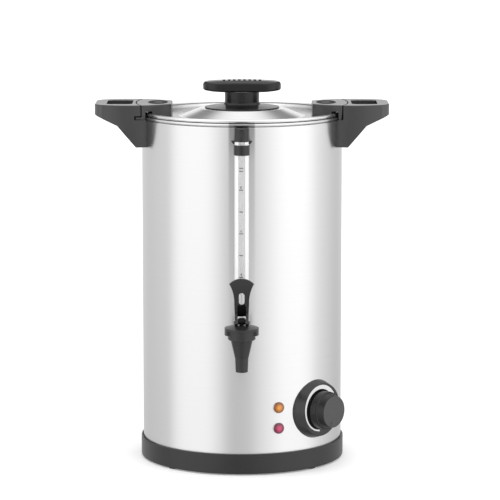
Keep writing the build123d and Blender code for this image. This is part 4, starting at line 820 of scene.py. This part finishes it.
# %% Base ring
BASE_OUT = 117.5
BASE_TOP = 24.4
BASE_FOOT = 1.5
FLANGE_IN = 100.0
FLANGE_TOP = 4.5
LEDGE_IN = 108.0
GAP_OUT = 115.7
GAP_FOOT = 21.4
RING_EDGES = [0.3, 1.2, 1.2, 0.25, 0.15, 0.1, 0.1, 0.2, 0.2, 0.3]  # rounding of each corner

ring_corners = [(FLANGE_IN, BASE_FOOT), (BASE_OUT, BASE_FOOT), (BASE_OUT, BASE_TOP), (GAP_OUT, BASE_TOP),
                (GAP_OUT, GAP_FOOT), (BODY_R, GAP_FOOT), (BODY_R, WALL_FOOT), (LEDGE_IN, WALL_FOOT),
                (LEDGE_IN, FLANGE_TOP), (FLANGE_IN, FLANGE_TOP)]
ring_line = rounded(ring_corners, RING_EDGES)
piece("base_moulding", "black_plastic", "urn", ["base_ring"], turned(ring_line))

# %% [markdown]
# ## Knob stem
# The grip stands on a turned stem that flares into a thin disc, which covers the hole in the lid and spreads
# the load.

# %% Knob stem
LID_TOP = 405.9
DISC_R = 42.8
DISC_EDGE = 1.2
STEM_R = 19.75
FLARE = 1.7
FLARE_Z = 4.0
STEM_TOP = 424.9
STEM_EDGES = [0.0, 0.25, 0.5, 5.0, 3.0, 0.3, 0.0]  # rounding of each corner

flare_z = LID_TOP + FLARE_Z
stem_corners = [(0.0, LID_TOP), (DISC_R, LID_TOP), (DISC_R, LID_TOP + DISC_EDGE), (STEM_R + FLARE, flare_z),
                (STEM_R, flare_z + FLARE), (STEM_R, STEM_TOP), (0.0, STEM_TOP)]
stem_line = rounded(stem_corners, STEM_EDGES)
piece("knob_stem", "black_plastic", "lid", ["lid_knob_stem"], turned(stem_line))

# %% [markdown]
# ## Knob grip
# The grip is a stadium seen from above: two half circles joined by straight sides. Going inwards by d from
# its outline only makes the half circles smaller, so a profile of (inset, height) pairs swept round the
# stadium gives the whole body. With x and y as shares of the grip's half length and half width, the top is
# crowned both ways and droops close to its ends, z = z0 - a x^2 - b y^2 - c |x|^10. The underside is flat
# over the stem and rises beyond it.

# %% Grip outline
GRIP_HALF = 44.8
GRIP_R = 19.0


def stadium(insets, caps=40, sides=36):
    """Points (x, y) of the outline moved inwards by each inset, anticlockwise from the right-hand tip."""
    quarter = np.pi / 2 * np.linspace(0.0, 1.0, caps // 2)
    half_turn = np.pi * np.linspace(0.0, 1.0, caps)
    angle = np.concatenate([quarter, np.full(sides, np.pi / 2), np.pi / 2 + half_turn,
                            np.full(sides, 1.5 * np.pi), 1.5 * np.pi + quarter])
    slide = np.linspace(1.0, -1.0, sides)
    centre = np.concatenate([np.ones(caps // 2), slide, -np.ones(caps), -slide, np.ones(caps // 2)])
    radius = GRIP_R - np.asarray(insets)[:, None]
    x = centre * (GRIP_HALF - GRIP_R) + radius * np.cos(angle)
    return x, radius * np.sin(angle)


print("grip outline:", stadium([0.0])[0].size, "points")

# %% Grip body
GRIP_FOOT = 424.9
GRIP_CREST = 438.2
GRIP_FALL_X = 1.2  # fall of the crown at the ends
GRIP_FALL_Y = 2.6  # and at the front and the back
GRIP_DROOP = 1.8  # further fall close to the ends
GRIP_RISE = 1.6  # rise of the underside at the ends
GRIP_ROUND = 2.8
GRIP_UNDER_ROUND = 2.0
FLAT_RINGS = 14  # rings of points on the top, and as many on the underside
EDGE_RINGS = 9  # and round each of the two edges

bend = np.linspace(0.0, 1.0, EDGE_RINGS) * np.pi / 2
grip_inset = np.concatenate([np.linspace(GRIP_R, 2 * GRIP_UNDER_ROUND, FLAT_RINGS),
                             GRIP_UNDER_ROUND * (1 - np.sin(bend)), GRIP_ROUND * (1 - np.cos(bend)),
                             np.linspace(2 * GRIP_ROUND, GRIP_R, FLAT_RINGS)])
upper = np.repeat([0.0, 1.0], FLAT_RINGS + EDGE_RINGS)[:, None]
lift = np.concatenate([np.zeros(FLAT_RINGS), GRIP_UNDER_ROUND * (1 - np.cos(bend)),
                       GRIP_ROUND * (np.sin(bend) - 1), np.zeros(FLAT_RINGS)])[:, None]
grip_x, grip_y = stadium(grip_inset)
crest = GRIP_CREST - GRIP_FALL_X * (grip_x / GRIP_HALF) ** 2 - GRIP_FALL_Y * (grip_y / GRIP_R) ** 2
crown = crest - GRIP_DROOP * abs(grip_x / GRIP_HALF) ** 10
belly = GRIP_FOOT + GRIP_RISE * (np.maximum(abs(grip_x) - STEM_R, 0.0) / (GRIP_HALF - STEM_R)) ** 1.5
grip_body = solid_of(np.stack([grip_x, grip_y, lift + upper * crown + (1 - upper) * belly], axis=-1))
print("grip body:", len(grip_body.polygons), "faces")

# %% [markdown]
# A row of slots across the top keeps the hand from slipping. They are cut with small prisms, and so is the
# bore for the screw. The top is smoother, as hands polish it, and paler, which is a painted sheen; the slots
# get painted shade inside.

# %% Grip slots
GRIP_SLOTS = 8
GRIP_SLOT_PITCH = 5.9
GRIP_SLOT = (3.0, 14.0, 4.0)  # width, length and depth
GRIP_SLOT_Y = -2.0
GRIP_SLOT_ROUND = 0.44  # share of the slot's width
GRIP_BORE = 3.0
GRIP_BORE_TOP = 428.0
ROW_HALF = 22.5  # half length of the row of slots
ABOVE = 432.0  # what the slots reach lies above this height

slot_w, slot_l, slot_deep = GRIP_SLOT
half_w, half_l = slot_w / 2, slot_l / 2
slot_shape = rounded(oblong(-half_w, -half_l, half_w, half_l), slot_w * GRIP_SLOT_ROUND)[:-1]
slot_tool = prism(slot_shape, GRIP_CREST - slot_deep, GRIP_CREST + 2)
slot_places = (np.arange(GRIP_SLOTS) - (GRIP_SLOTS - 1) / 2) * GRIP_SLOT_PITCH
cutters = [slot_tool + np.array([x, GRIP_SLOT_Y, 0.0]) for x in slot_places]
cutters.append(prism(arc((0.0, 0.0), GRIP_BORE, 0.0, 360.0, 49)[:-1], GRIP_FOOT - 2, GRIP_BORE_TOP))
grip = placed("knob_grip", "black_plastic", "lid", ["lid_knob_grip"],
              combined(grip_body, solid_of(*cutters)))
spots, facing = face_table(grip.data)
faces_up = facing[:, 2] > 0.8
in_row = (abs(spots[:, 0]) < ROW_HALF) & (abs(spots[:, 1] - GRIP_SLOT_Y) < half_l + 0.1)
# the grip's top: smoother, with a painted sheen in its paler colour
refinish(grip, faces_up & (spots[:, 2] > ABOVE + 2), POLISH_AND_SHEEN)
# painted shade inside the slots
refinish(grip, in_row & (spots[:, 2] > ABOVE) & ~(faces_up & (spots[:, 2] > GRIP_CREST - 1.5)), PAINTED_SHADE)

# %% [markdown]
# ## Handles and lid ears
# Each handle's outer corners are rounded widely, for the palm. The imported handle is cut to a plan with a
# larger corner: layers of that plan are stacked, and the upper ones shrink towards a point near the handle's
# middle, which rounds the upper edge too. The ear of the lid stands apart from the handle by a seam, which is
# opened a little. The seam and the finger slot get painted shade inside, and the outward faces of the
# handle's end get a paler colour, a painted highlight.

# %% Tools for the handles
HANDLE_OUT = 168.2
HANDLE_TOP = 412.1
PLAN_CORNER = 31.1  # half width where the sides' tangents meet the end
PLAN_SLOPE = 0.468
PLAN_ROUND = 17.7
PLAN_IN = 80.0
PLAN_FOOT = 350.0
PLAN_HUB = np.array([120.0, 0.0])  # the point that the upper layers shrink towards
TOP_ROUND = 1.2
TOP_PLAY = 0.02  # the cutting plan ends this far above the handle
EAR_R = 120.9
SEAM_OUT = 126.0
SEAM_FOOT = 398.7
SEAM_TOP = 420.0

plan_wide = PLAN_CORNER + PLAN_SLOPE * (HANDLE_OUT - PLAN_IN)
plan = rounded([(PLAN_IN, -plan_wide), (HANDLE_OUT, -PLAN_CORNER), (HANDLE_OUT, PLAN_CORNER),
                (PLAN_IN, plan_wide)], [0.0, PLAN_ROUND, PLAN_ROUND, 0.0], steps=24)
over_edge = np.linspace(0.0, np.pi / 2, 6)
shrink = np.concatenate([[0.0], TOP_ROUND * (1 - np.cos(over_edge))]) / (HANDLE_OUT - PLAN_HUB[0])
layer_z = np.concatenate([[PLAN_FOOT], HANDLE_TOP + TOP_PLAY - TOP_ROUND * (1 - np.sin(over_edge))])
layers = PLAN_HUB + (plan - PLAN_HUB) * (1 - shrink)[:, None, None]
layer_z = np.broadcast_to(layer_z[:, None, None], layers.shape[:2] + (1,))
layers = np.concatenate([layers, layer_z], axis=-1)
handle_cutter = shut(layers)
seam_cutter = turned(rounded(oblong(EAR_R, SEAM_FOOT, SEAM_OUT, SEAM_TOP), 0.0, steps=2))
print("handle cutter:", len(layers), "layers of", len(plan), "points")

# %% Handles and lid ears
SEAM_R = 122.2
SEAM_LOW = 390.0
SLOT_X = 140.0  # middle, half length and half width of a box round the finger slot, and its foot
SLOT_HALF = 16.0
SLOT_SIDE = 20.0
SLOT_LOW = 380.0
END_FROM = 150.0  # the end with the painted highlight starts here

for name, sign in (("left", -1.0), ("right", 1.0)):
    body = combined(copy_of(f"handle_{name}"), solid_of(handle_cutter * (sign, 1.0, 1.0)), "INTERSECT")
    handle = placed(f"{name}_handle", "black_plastic", "urn", [f"handle_{name}"], body)
    spots, facing = face_table(handle.data)
    across, along, height = spots.T
    upright = abs(facing[:, 2]) < 0.5
    in_seam = (abs(np.hypot(across, along) - SEAM_R) < 0.15) & (height > SEAM_LOW)
    in_slot = (abs(abs(across) - SLOT_X) < SLOT_HALF) & (abs(along) < SLOT_SIDE) & (height > SLOT_LOW)
    # painted shade in the seam and the finger slot
    refinish(handle, upright & (in_seam | in_slot), PAINTED_SHADE)
    # painted highlight on the outward faces of the handle's end
    refinish(handle, (abs(across) > END_FROM) & (sign * facing[:, 0] > 0.5) & upright, END_HIGHLIGHT)

    body = combined(copy_of(f"lid_ear_{name}"), solid_of(seam_cutter))
    ear = placed(f"{name}_ear", "black_plastic", "lid", [f"lid_ear_{name}"], body)
    spots, facing = face_table(ear.data)
    across, along, height = spots.T
    in_seam = (abs(np.hypot(across, along) - EAR_R) < 0.15) & (height > SEAM_FOOT - 0.7)
    # painted shade on the ear's side of the seam
    refinish(ear, in_seam & (abs(facing[:, 2]) < 0.3), PAINTED_SHADE)

# %% [markdown]
# ## Water gauge
# A glass tube stands in front of the wall, inside a wider clear cover. Tank and tube are joined at the
# bottom, so the water stands equally high in both. The tube, the cover and the black collar near the top are
# all turned about the gauge's own axis.

# %% Gauge tube, cover and collar
GAUGE = (0.0, -125.0)
COVER = (8.15, 7.2, 177.5, 382.8, 0.3)  # radius, bore, foot, top and rounding of the edges
GLASS = (5.0, 3.5, 166.5, 391.2, 0.4)
COLLAR = (9.1, 8.2, 365.2, 376.5, 0.3)


def tube(outer, bore, low, high, edge):
    """Ring about the gauge's axis with its four edges rounded."""
    return turned(rounded(oblong(bore, low, outer, high), edge, steps=5), GAUGE, segments=96)


piece("gauge_cover_tube", "clear_plastic", "urn", ["gauge_cover"], tube(*COVER))
piece("gauge_glass_tube", "gauge_glass", "urn", ["gauge_tube"], tube(*GLASS))
piece("gauge_collar_ring", "tap_plastic", "urn", ["gauge_collar"], tube(*COLLAR))

# %% [markdown]
# The black holder over the tube has two small hooks that grip the cover from both sides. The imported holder
# has plain wings there. They are cut off, and the hooks are joined on as prisms, which keeps the rest of the
# holder as it is.

# %% Gauge holder
HOLDER_R = 8.6
WING_OUT = 16.0  # the box round the wings
WING_FRONT = -140.0
WING_BACK = -105.0
WING_FOOT = 379.0
WING_TOP = 387.0
HOOK = ((8.0, 381.4), (11.9, 381.1), (9.4, 377.6), (8.0, 377.6))
HOOK_HALF = 2.5

wing_box = oblong(HOLDER_R + 0.05, WING_FRONT, WING_OUT, WING_BACK)
both_sides = [np.array([-1, 1]), np.array([1, 1])]
trim = [prism(wing_box * side, WING_FOOT, WING_TOP) for side in both_sides]
hooks = [prism(np.array(HOOK) * side, GAUGE[1] - HOOK_HALF, GAUGE[1] + HOOK_HALF, axis=1)
         for side in both_sides]
holder = combined(copy_of("gauge_holder"), solid_of(*trim))
placed("gauge_head", "tap_plastic", "urn", ["gauge_holder"], combined(holder, solid_of(*hooks), "UNION"))

# %% [markdown]
# The scale is printed on the glass: a mark for every litre, a double mark for the highest level, and plain
# numbers at every second mark. Ink has almost no thickness, but a mesh needs some, so each mark is a patch
# of a slightly wider tube, six hundredths of a millimetre thick. A number is Blender's own lettering, laid
# flat and then bent: its x becomes an angle.

# %% Marks of the scale
INK_R = 5.03
INK_T = 0.06
LITRE_TOP = 326.6  # height of the mark for eight litres
LITRE_PITCH = 24.43
MARKED = (8, 7, 6, 5, 4)
FULL_MARKS = (351.0, 347.7)
MARK_FROM = -3.0
MARK_TO = 1.6
MARK_H = 0.9
MARK_STEPS = 13


def wrapped(x, depth, z):
    """Bends flat points round the glass: the angle is x / radius, and depth counts outwards."""
    angle = x / INK_R
    radius = INK_R + depth
    return np.stack([GAUGE[0] + radius * np.sin(angle), GAUGE[1] - radius * np.cos(angle), z], axis=-1)


def mark(z):
    """A closed patch: a small rectangle of depth and height carried along x, shut at both ends."""
    x = np.linspace(MARK_FROM, MARK_TO, MARK_STEPS)
    x = np.concatenate([x[:1], x, x[-1:]])[:, None]
    depth = np.array([0.0, INK_T, INK_T, 0.0, 0.0])
    up = np.array([-0.5, -0.5, 0.5, 0.5, -0.5]) * MARK_H
    size = np.concatenate([[0.0], np.ones(MARK_STEPS), [0.0]])[:, None]
    return wrapped(x + 0 * depth, INK_T / 2 + (depth - INK_T / 2) * size, z + up * size)


litre_z = {litre: LITRE_TOP - (MARKED[0] - litre) * LITRE_PITCH for litre in MARKED}
all_marks = [mark(z) for z in litre_z.values()] + [mark(z) for z in FULL_MARKS]
piece("gauge_marks", "black_plastic", "urn", [], *all_marks)

# %% Numbers of the scale
NUMBERED = (8, 6, 4)
NUMBER_SIZE = 4.2
NUMBER_RISE = 1.6


def number(litre, z):
    """Mesh of a number in Blender's own lettering, bent round the glass above its mark."""
    text = bpy.data.curves.new("litre", "FONT")
    text.body = str(litre)
    text.size = NUMBER_SIZE
    text.extrude = INK_T / 2
    text.align_x = "CENTER"
    flat = bpy.data.meshes.new_from_object(bpy.data.objects.new("litre", text))
    x, y, depth = points_of(flat).T
    bent = wrapped(x + (MARK_FROM + MARK_TO) / 2, depth + INK_T / 2, z + NUMBER_RISE + y)
    flat.vertices.foreach_set("co", (bent * MM).astype(np.float32).ravel())
    tidy_mesh(flat)
    flat.materials.clear()
    return flat


for litre in NUMBERED:
    placed(f"litre_number_{litre}", "black_plastic", "urn", [], number(litre, litre_z[litre]))

# %% [markdown]
# ## Tap lever
# The lever's two legs straddle the head of the stem. The head is a small block with well rounded edges, which
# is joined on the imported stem.

# %% Head of the stem
TAP_Y = -154.0
HEAD_DEPTH = 3.3  # half of it, as the width below
HEAD_WIDE = 4.35
HEAD_FOOT = 180.3
HEAD_TOP = 186.1
HEAD_ROUND = 2.4

head_side = rounded(oblong(TAP_Y - HEAD_DEPTH, HEAD_FOOT, TAP_Y + HEAD_DEPTH, HEAD_TOP), HEAD_ROUND)
head = prism(head_side[:-1], -HEAD_WIDE, HEAD_WIDE, axis=0)
placed("stem_with_head", "tap_plastic", "plunger", ["tap_stem"],
       combined(copy_of("tap_stem"), solid_of(head), "UNION"))

# %% [markdown]
# The web between the legs ends above the head with a gap that lets light through. Over the gap the web is
# hollowed from the front: the hollow's floor leans forward as it rises, so it faces down and stays dark, and
# its floor and sides get painted shade too. One prism cuts the gap and another the hollow. The blade above
# them is raised a little by moving its points, which keeps its shape.

# %% Tap lever
LEVER_DEPTH = 20.0  # the lever lies closer to the tap's middle than this
GAP_HALF = 4.45
LEVER_GAP_FOOT = 184.0
LEVER_GAP_TOP = 188.6
HOLLOW_HALF = 4.75
HOLLOW_OVERLAP = 0.5  # the hollow starts this far under the gap's top
HOLLOW_TOP = 202.9
HOLLOW_FLOOR = 1.9  # the hollow's floor at the gap, behind the lever's pin
HOLLOW_LIP = 7.2  # and at its top, in front of the pin
LEVER_RAISE = 1.5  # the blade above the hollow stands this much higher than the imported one
RAISE_SPAN = 12.0  # the points in between rise by a share, over this height

front, back = TAP_Y - LEVER_DEPTH, TAP_Y + LEVER_DEPTH
hollow_foot = LEVER_GAP_TOP - HOLLOW_OVERLAP
gap = prism(oblong(front, LEVER_GAP_FOOT, back, LEVER_GAP_TOP), -GAP_HALF, GAP_HALF, axis=0)
hollow = prism(np.array([(front, hollow_foot), (TAP_Y + HOLLOW_FLOOR, hollow_foot),
                         (TAP_Y - HOLLOW_LIP, HOLLOW_TOP), (front, HOLLOW_TOP)]),
               -HOLLOW_HALF, HOLLOW_HALF, axis=0)
forked = combined(combined(copy_of("tap_lever"), solid_of(gap)), solid_of(hollow))
lever_points = points_of(forked)
share = np.clip((lever_points[:, 2] / MM - HOLLOW_TOP + RAISE_SPAN / 2) / RAISE_SPAN, 0.0, 1.0)
lever_points[:, 2] += LEVER_RAISE * MM * share
forked.vertices.foreach_set("co", lever_points.ravel())
forked.update()
lever = placed("forked_lever", "tap_plastic", "lever", ["tap_lever"], forked)
spots, facing = face_table(lever.data)
between = (spots[:, 2] > hollow_foot - 0.1) & (spots[:, 2] < HOLLOW_TOP + 0.1)
inside = between & (abs(spots[:, 0]) < HOLLOW_HALF + 0.05)
floor_faces = (facing[:, 1] < -0.5) & (facing[:, 2] < -0.2)
# painted shade on the hollow's floor and sides
refinish(lever, inside & (floor_faces | (abs(facing[:, 0]) > 0.9)), PAINTED_SHADE)

# %% [markdown]
# ## Thermostat dial
# The dial is a black bezel on the wall, a silver band printed round it that grows with the heat, and a
# turned knob with a raised pointer. They are drawn flat, with z out of the wall, and then put on the wall.

# %% Dial knob
DIAL_AZ = 47.0
DIAL_Z = 69.4
KNOB_FOOT = 10.5
SKIRT_R = 21.6
SKIRT_TOP = 19.0
SKIRT_BEVEL = (0.9, 1.2)  # inwards and down
NECK_R = 19.2
FACE_R = 18.2
KNOB_FACE = 28.5
KNOB_EDGE = 1.8


def on_dial(points):
    """Moves points drawn flat to the dial's place on the wall."""
    return on_wall(points, DIAL_AZ, DIAL_Z, BODY_R)


bevel_in, bevel_down = SKIRT_BEVEL
knob_corners = [(0.0, KNOB_FOOT), (SKIRT_R, KNOB_FOOT), (SKIRT_R, SKIRT_TOP - bevel_down),
                (SKIRT_R - bevel_in, SKIRT_TOP), (NECK_R, SKIRT_TOP), (FACE_R, KNOB_FACE), (0.0, KNOB_FACE)]
knob_line = rounded(knob_corners, [0.0, 0.4, 0.6, 0.4, 0.3, KNOB_EDGE, 0.0])
knob_skin = on_dial(turned(knob_line, segments=160))
print("knob outline:", len(knob_line), "points")

# %% [markdown]
# The pointer is a low bar with soft edges near the rim of the knob's face. Its foot lies a little below the
# face, so that no gap shows.

# %% Pointer
POINTER_AZ = -110.0
POINTER_L = 5.0
POINTER_W = 2.0
POINTER_H = 0.8
POINTER_SUNK = 0.3
POINTER_EDGE = 0.35


def bar(length, width, height, edge):
    """Low bar with rounded upper edges: a section of width and height, carried along x and shut at its ends
    by shrinking the section to its middle line."""
    section = rounded(oblong(-width / 2, 0.0, width / 2, height), [0.05, 0.05, edge, edge], steps=4)
    bend = np.linspace(0.0, 1.0, 7) * np.pi / 2
    from_tip, inset = edge * (1 - np.cos(bend)), edge * (1 - np.sin(bend))
    x = np.concatenate([-length / 2 + from_tip, length / 2 - from_tip[::-1]])
    inset = np.concatenate([inset, inset[::-1]])
    y = section[None, :, 0] * (1 - inset[:, None] / (width / 2))
    z = section[None, :, 1] * (1 - inset[:, None] / height * 0.5)
    return shut(np.stack([x[:, None] + 0 * y, y, z], axis=-1))


pointer_turn = math.radians(POINTER_AZ)
spin = np.array([(math.cos(pointer_turn), math.sin(pointer_turn), 0.0),
                 (-math.sin(pointer_turn), math.cos(pointer_turn), 0.0), (0.0, 0.0, 1.0)])
pointer_bar = bar(POINTER_L, POINTER_W, POINTER_H + POINTER_SUNK, POINTER_EDGE)
pointer_bar = (pointer_bar + np.array([FACE_R - KNOB_EDGE - POINTER_L / 2, 0, 0])) @ spin
pointer_bar = pointer_bar + np.array([0.0, 0.0, KNOB_FACE - POINTER_SUNK])
piece("dial_knob", "grey_face", "dial", ["thermostat_knob"], knob_skin, on_dial(pointer_bar))

# %% [markdown]
# The band lies between two circles with different middles, which makes it wider towards its end. The bezel's
# own recess for it is filled by a ring first, and a moat is cut round the knob, with painted shade inside.

# %% Dial bezel
BEZEL_FACE = 9.7
BAND_OUT = ((-2.3, 2.2), 26.6)  # middle and radius of the band's outer circle
BAND_IN = ((-3.1, 0.9), 23.4)
FILL_IN = 20.0
FILL_OUT = 29.6
FILL_T = 1.0
MOAT_DEPTH = 2.1
MOAT_INSIDE = 0.2  # the moat ends this far inside the band
MOAT_FAR = 27.2  # all of it is closer to the dial's axis than this

fill_line = rounded(oblong(FILL_IN, BEZEL_FACE - FILL_T, FILL_OUT, BEZEL_FACE), 0.0, steps=2)
fill = solid_of(on_dial(turned(fill_line, segments=128)))
moat_line = arc(BAND_IN[0], BAND_IN[1] - MOAT_INSIDE, 0.0, 360.0, 129)[:-1]
moat_tool = prism(moat_line, BEZEL_FACE - MOAT_DEPTH, BEZEL_FACE + 3.0)
moat = solid_of(on_dial(moat_tool))
bezel = placed("dial_bezel", "black_plastic", "urn", ["thermostat_bezel"],
               combined(combined(copy_of("thermostat_bezel"), fill, "UNION"), moat))
spots, facing = face_table(bezel.data)
dial_way = on_wall(np.array([[0.0, 0.0, 1.0]]), DIAL_AZ, 0.0, 0.0)[0]
dial_centre = on_dial(np.zeros((1, 3)))[0]
outwards = spots @ dial_way - BODY_R
aside = np.linalg.norm(np.cross(spots - dial_centre, dial_way), axis=1)
in_moat = (outwards > BEZEL_FACE - MOAT_DEPTH - 0.1) & (outwards < BEZEL_FACE - 0.05)
# painted shade inside the moat
refinish(bezel, in_moat & (aside < MOAT_FAR), PAINTED_SHADE)

# %% Silver band
BAND_FROM = -93.0
BAND_SWEEP = -250.0
BAND_STEPS = 120
BAND_RISE = 0.03
BAND_SUNK = 0.3

outer = arc(*BAND_OUT, BAND_FROM, BAND_SWEEP, BAND_STEPS)
inner = arc(*BAND_IN, BAND_FROM, BAND_SWEEP, BAND_STEPS)
low, high = BEZEL_FACE - BAND_SUNK, BEZEL_FACE + BAND_RISE
around_band = [(outer, low), (outer, high), (inner, high), (inner, low), (outer, low)]
band = np.stack([np.column_stack([edge, np.full(BAND_STEPS, z)]) for edge, z in around_band], axis=1)
silver = solid_of(on_dial(shut(band)))
silver.set_sharp_from_angle(angle=math.radians(30))
placed("dial_band", "silver_scale", "urn", ["dial_scale"], silver)

# %% [markdown]
# ## Pilot lamps
# Each lamp is a clear tinted dome in a thin bright ring. The dome is a little flat on top: its outline is a
# super-ellipse, (r/a)^p + (h/b)^p = 1 with p between a circle's 2 and a box's many.

# %% Lamps
LAMP_AZ = 21.0
LAMP_HEIGHTS = {"amber": 76.6, "red": 52.8}
LENS_R = 6.35
LENS_FOOT = 0.48
LENS_H = 3.6
LENS_POWER = 2.6
LENS_SIDE = 0.6  # height of the straight side below the dome
LENS_BEVEL = 0.2
TRIM_R = 6.9
TRIM_H = 1.2
TRIM_SUNK = 0.3

climb = np.linspace(0.0, np.pi / 2, 28)
dome_r = LENS_R * np.cos(climb) ** (2 / LENS_POWER)
dome_h = LENS_FOOT + LENS_SIDE + (LENS_H - LENS_SIDE) * np.sin(climb) ** (2 / LENS_POWER)
lens_foot = [(0.0, LENS_FOOT), (LENS_R - LENS_BEVEL, LENS_FOOT), (LENS_R, LENS_FOOT + LENS_BEVEL)]
lens_line = np.concatenate([lens_foot, np.stack([dome_r, dome_h], axis=1)])
trim_line = rounded([(LENS_R, -TRIM_SUNK), (TRIM_R, -TRIM_SUNK), (TRIM_R, TRIM_H),
                     (LENS_R + 0.05, TRIM_H - 0.1)], [0.1, 0.1, 0.4, 0.2], steps=5)
trims = []
for colour, height in LAMP_HEIGHTS.items():
    lens = on_wall(turned(lens_line, segments=72), LAMP_AZ, height, BODY_R)
    piece(f"{colour}_lens", f"{colour}_lens", "urn", [f"pilot_lamp_{colour}"], lens)
    trims.append(on_wall(turned(trim_line, segments=72), LAMP_AZ, height, BODY_R))
piece("lamp_rings", "lamp_trim", "urn", ["lamp_bezels"], *trims)

# %% [markdown]
# ## No smears on the steel
# The dial, the lamps and the lid's grip stand close to steel that mirrors them as long smears. A photographer
# keeps those away with a sheet of tracing paper held beside each. Here a switch on the object does it: glossy
# rays pass it by.

# %% No smears on the steel
UNMIRRORED = ("dial_knob", "amber_lens", "red_lens", "lamp_rings", "dial_bezel", "dial_band", "knob_grip")

for made in bpy.data.objects:
    if made.name in UNMIRRORED:
        made.visible_glossy = False
print("not mirrored:", len(UNMIRRORED), "pieces")

# %% [markdown]
# ## End

# %% End
print("scene built")
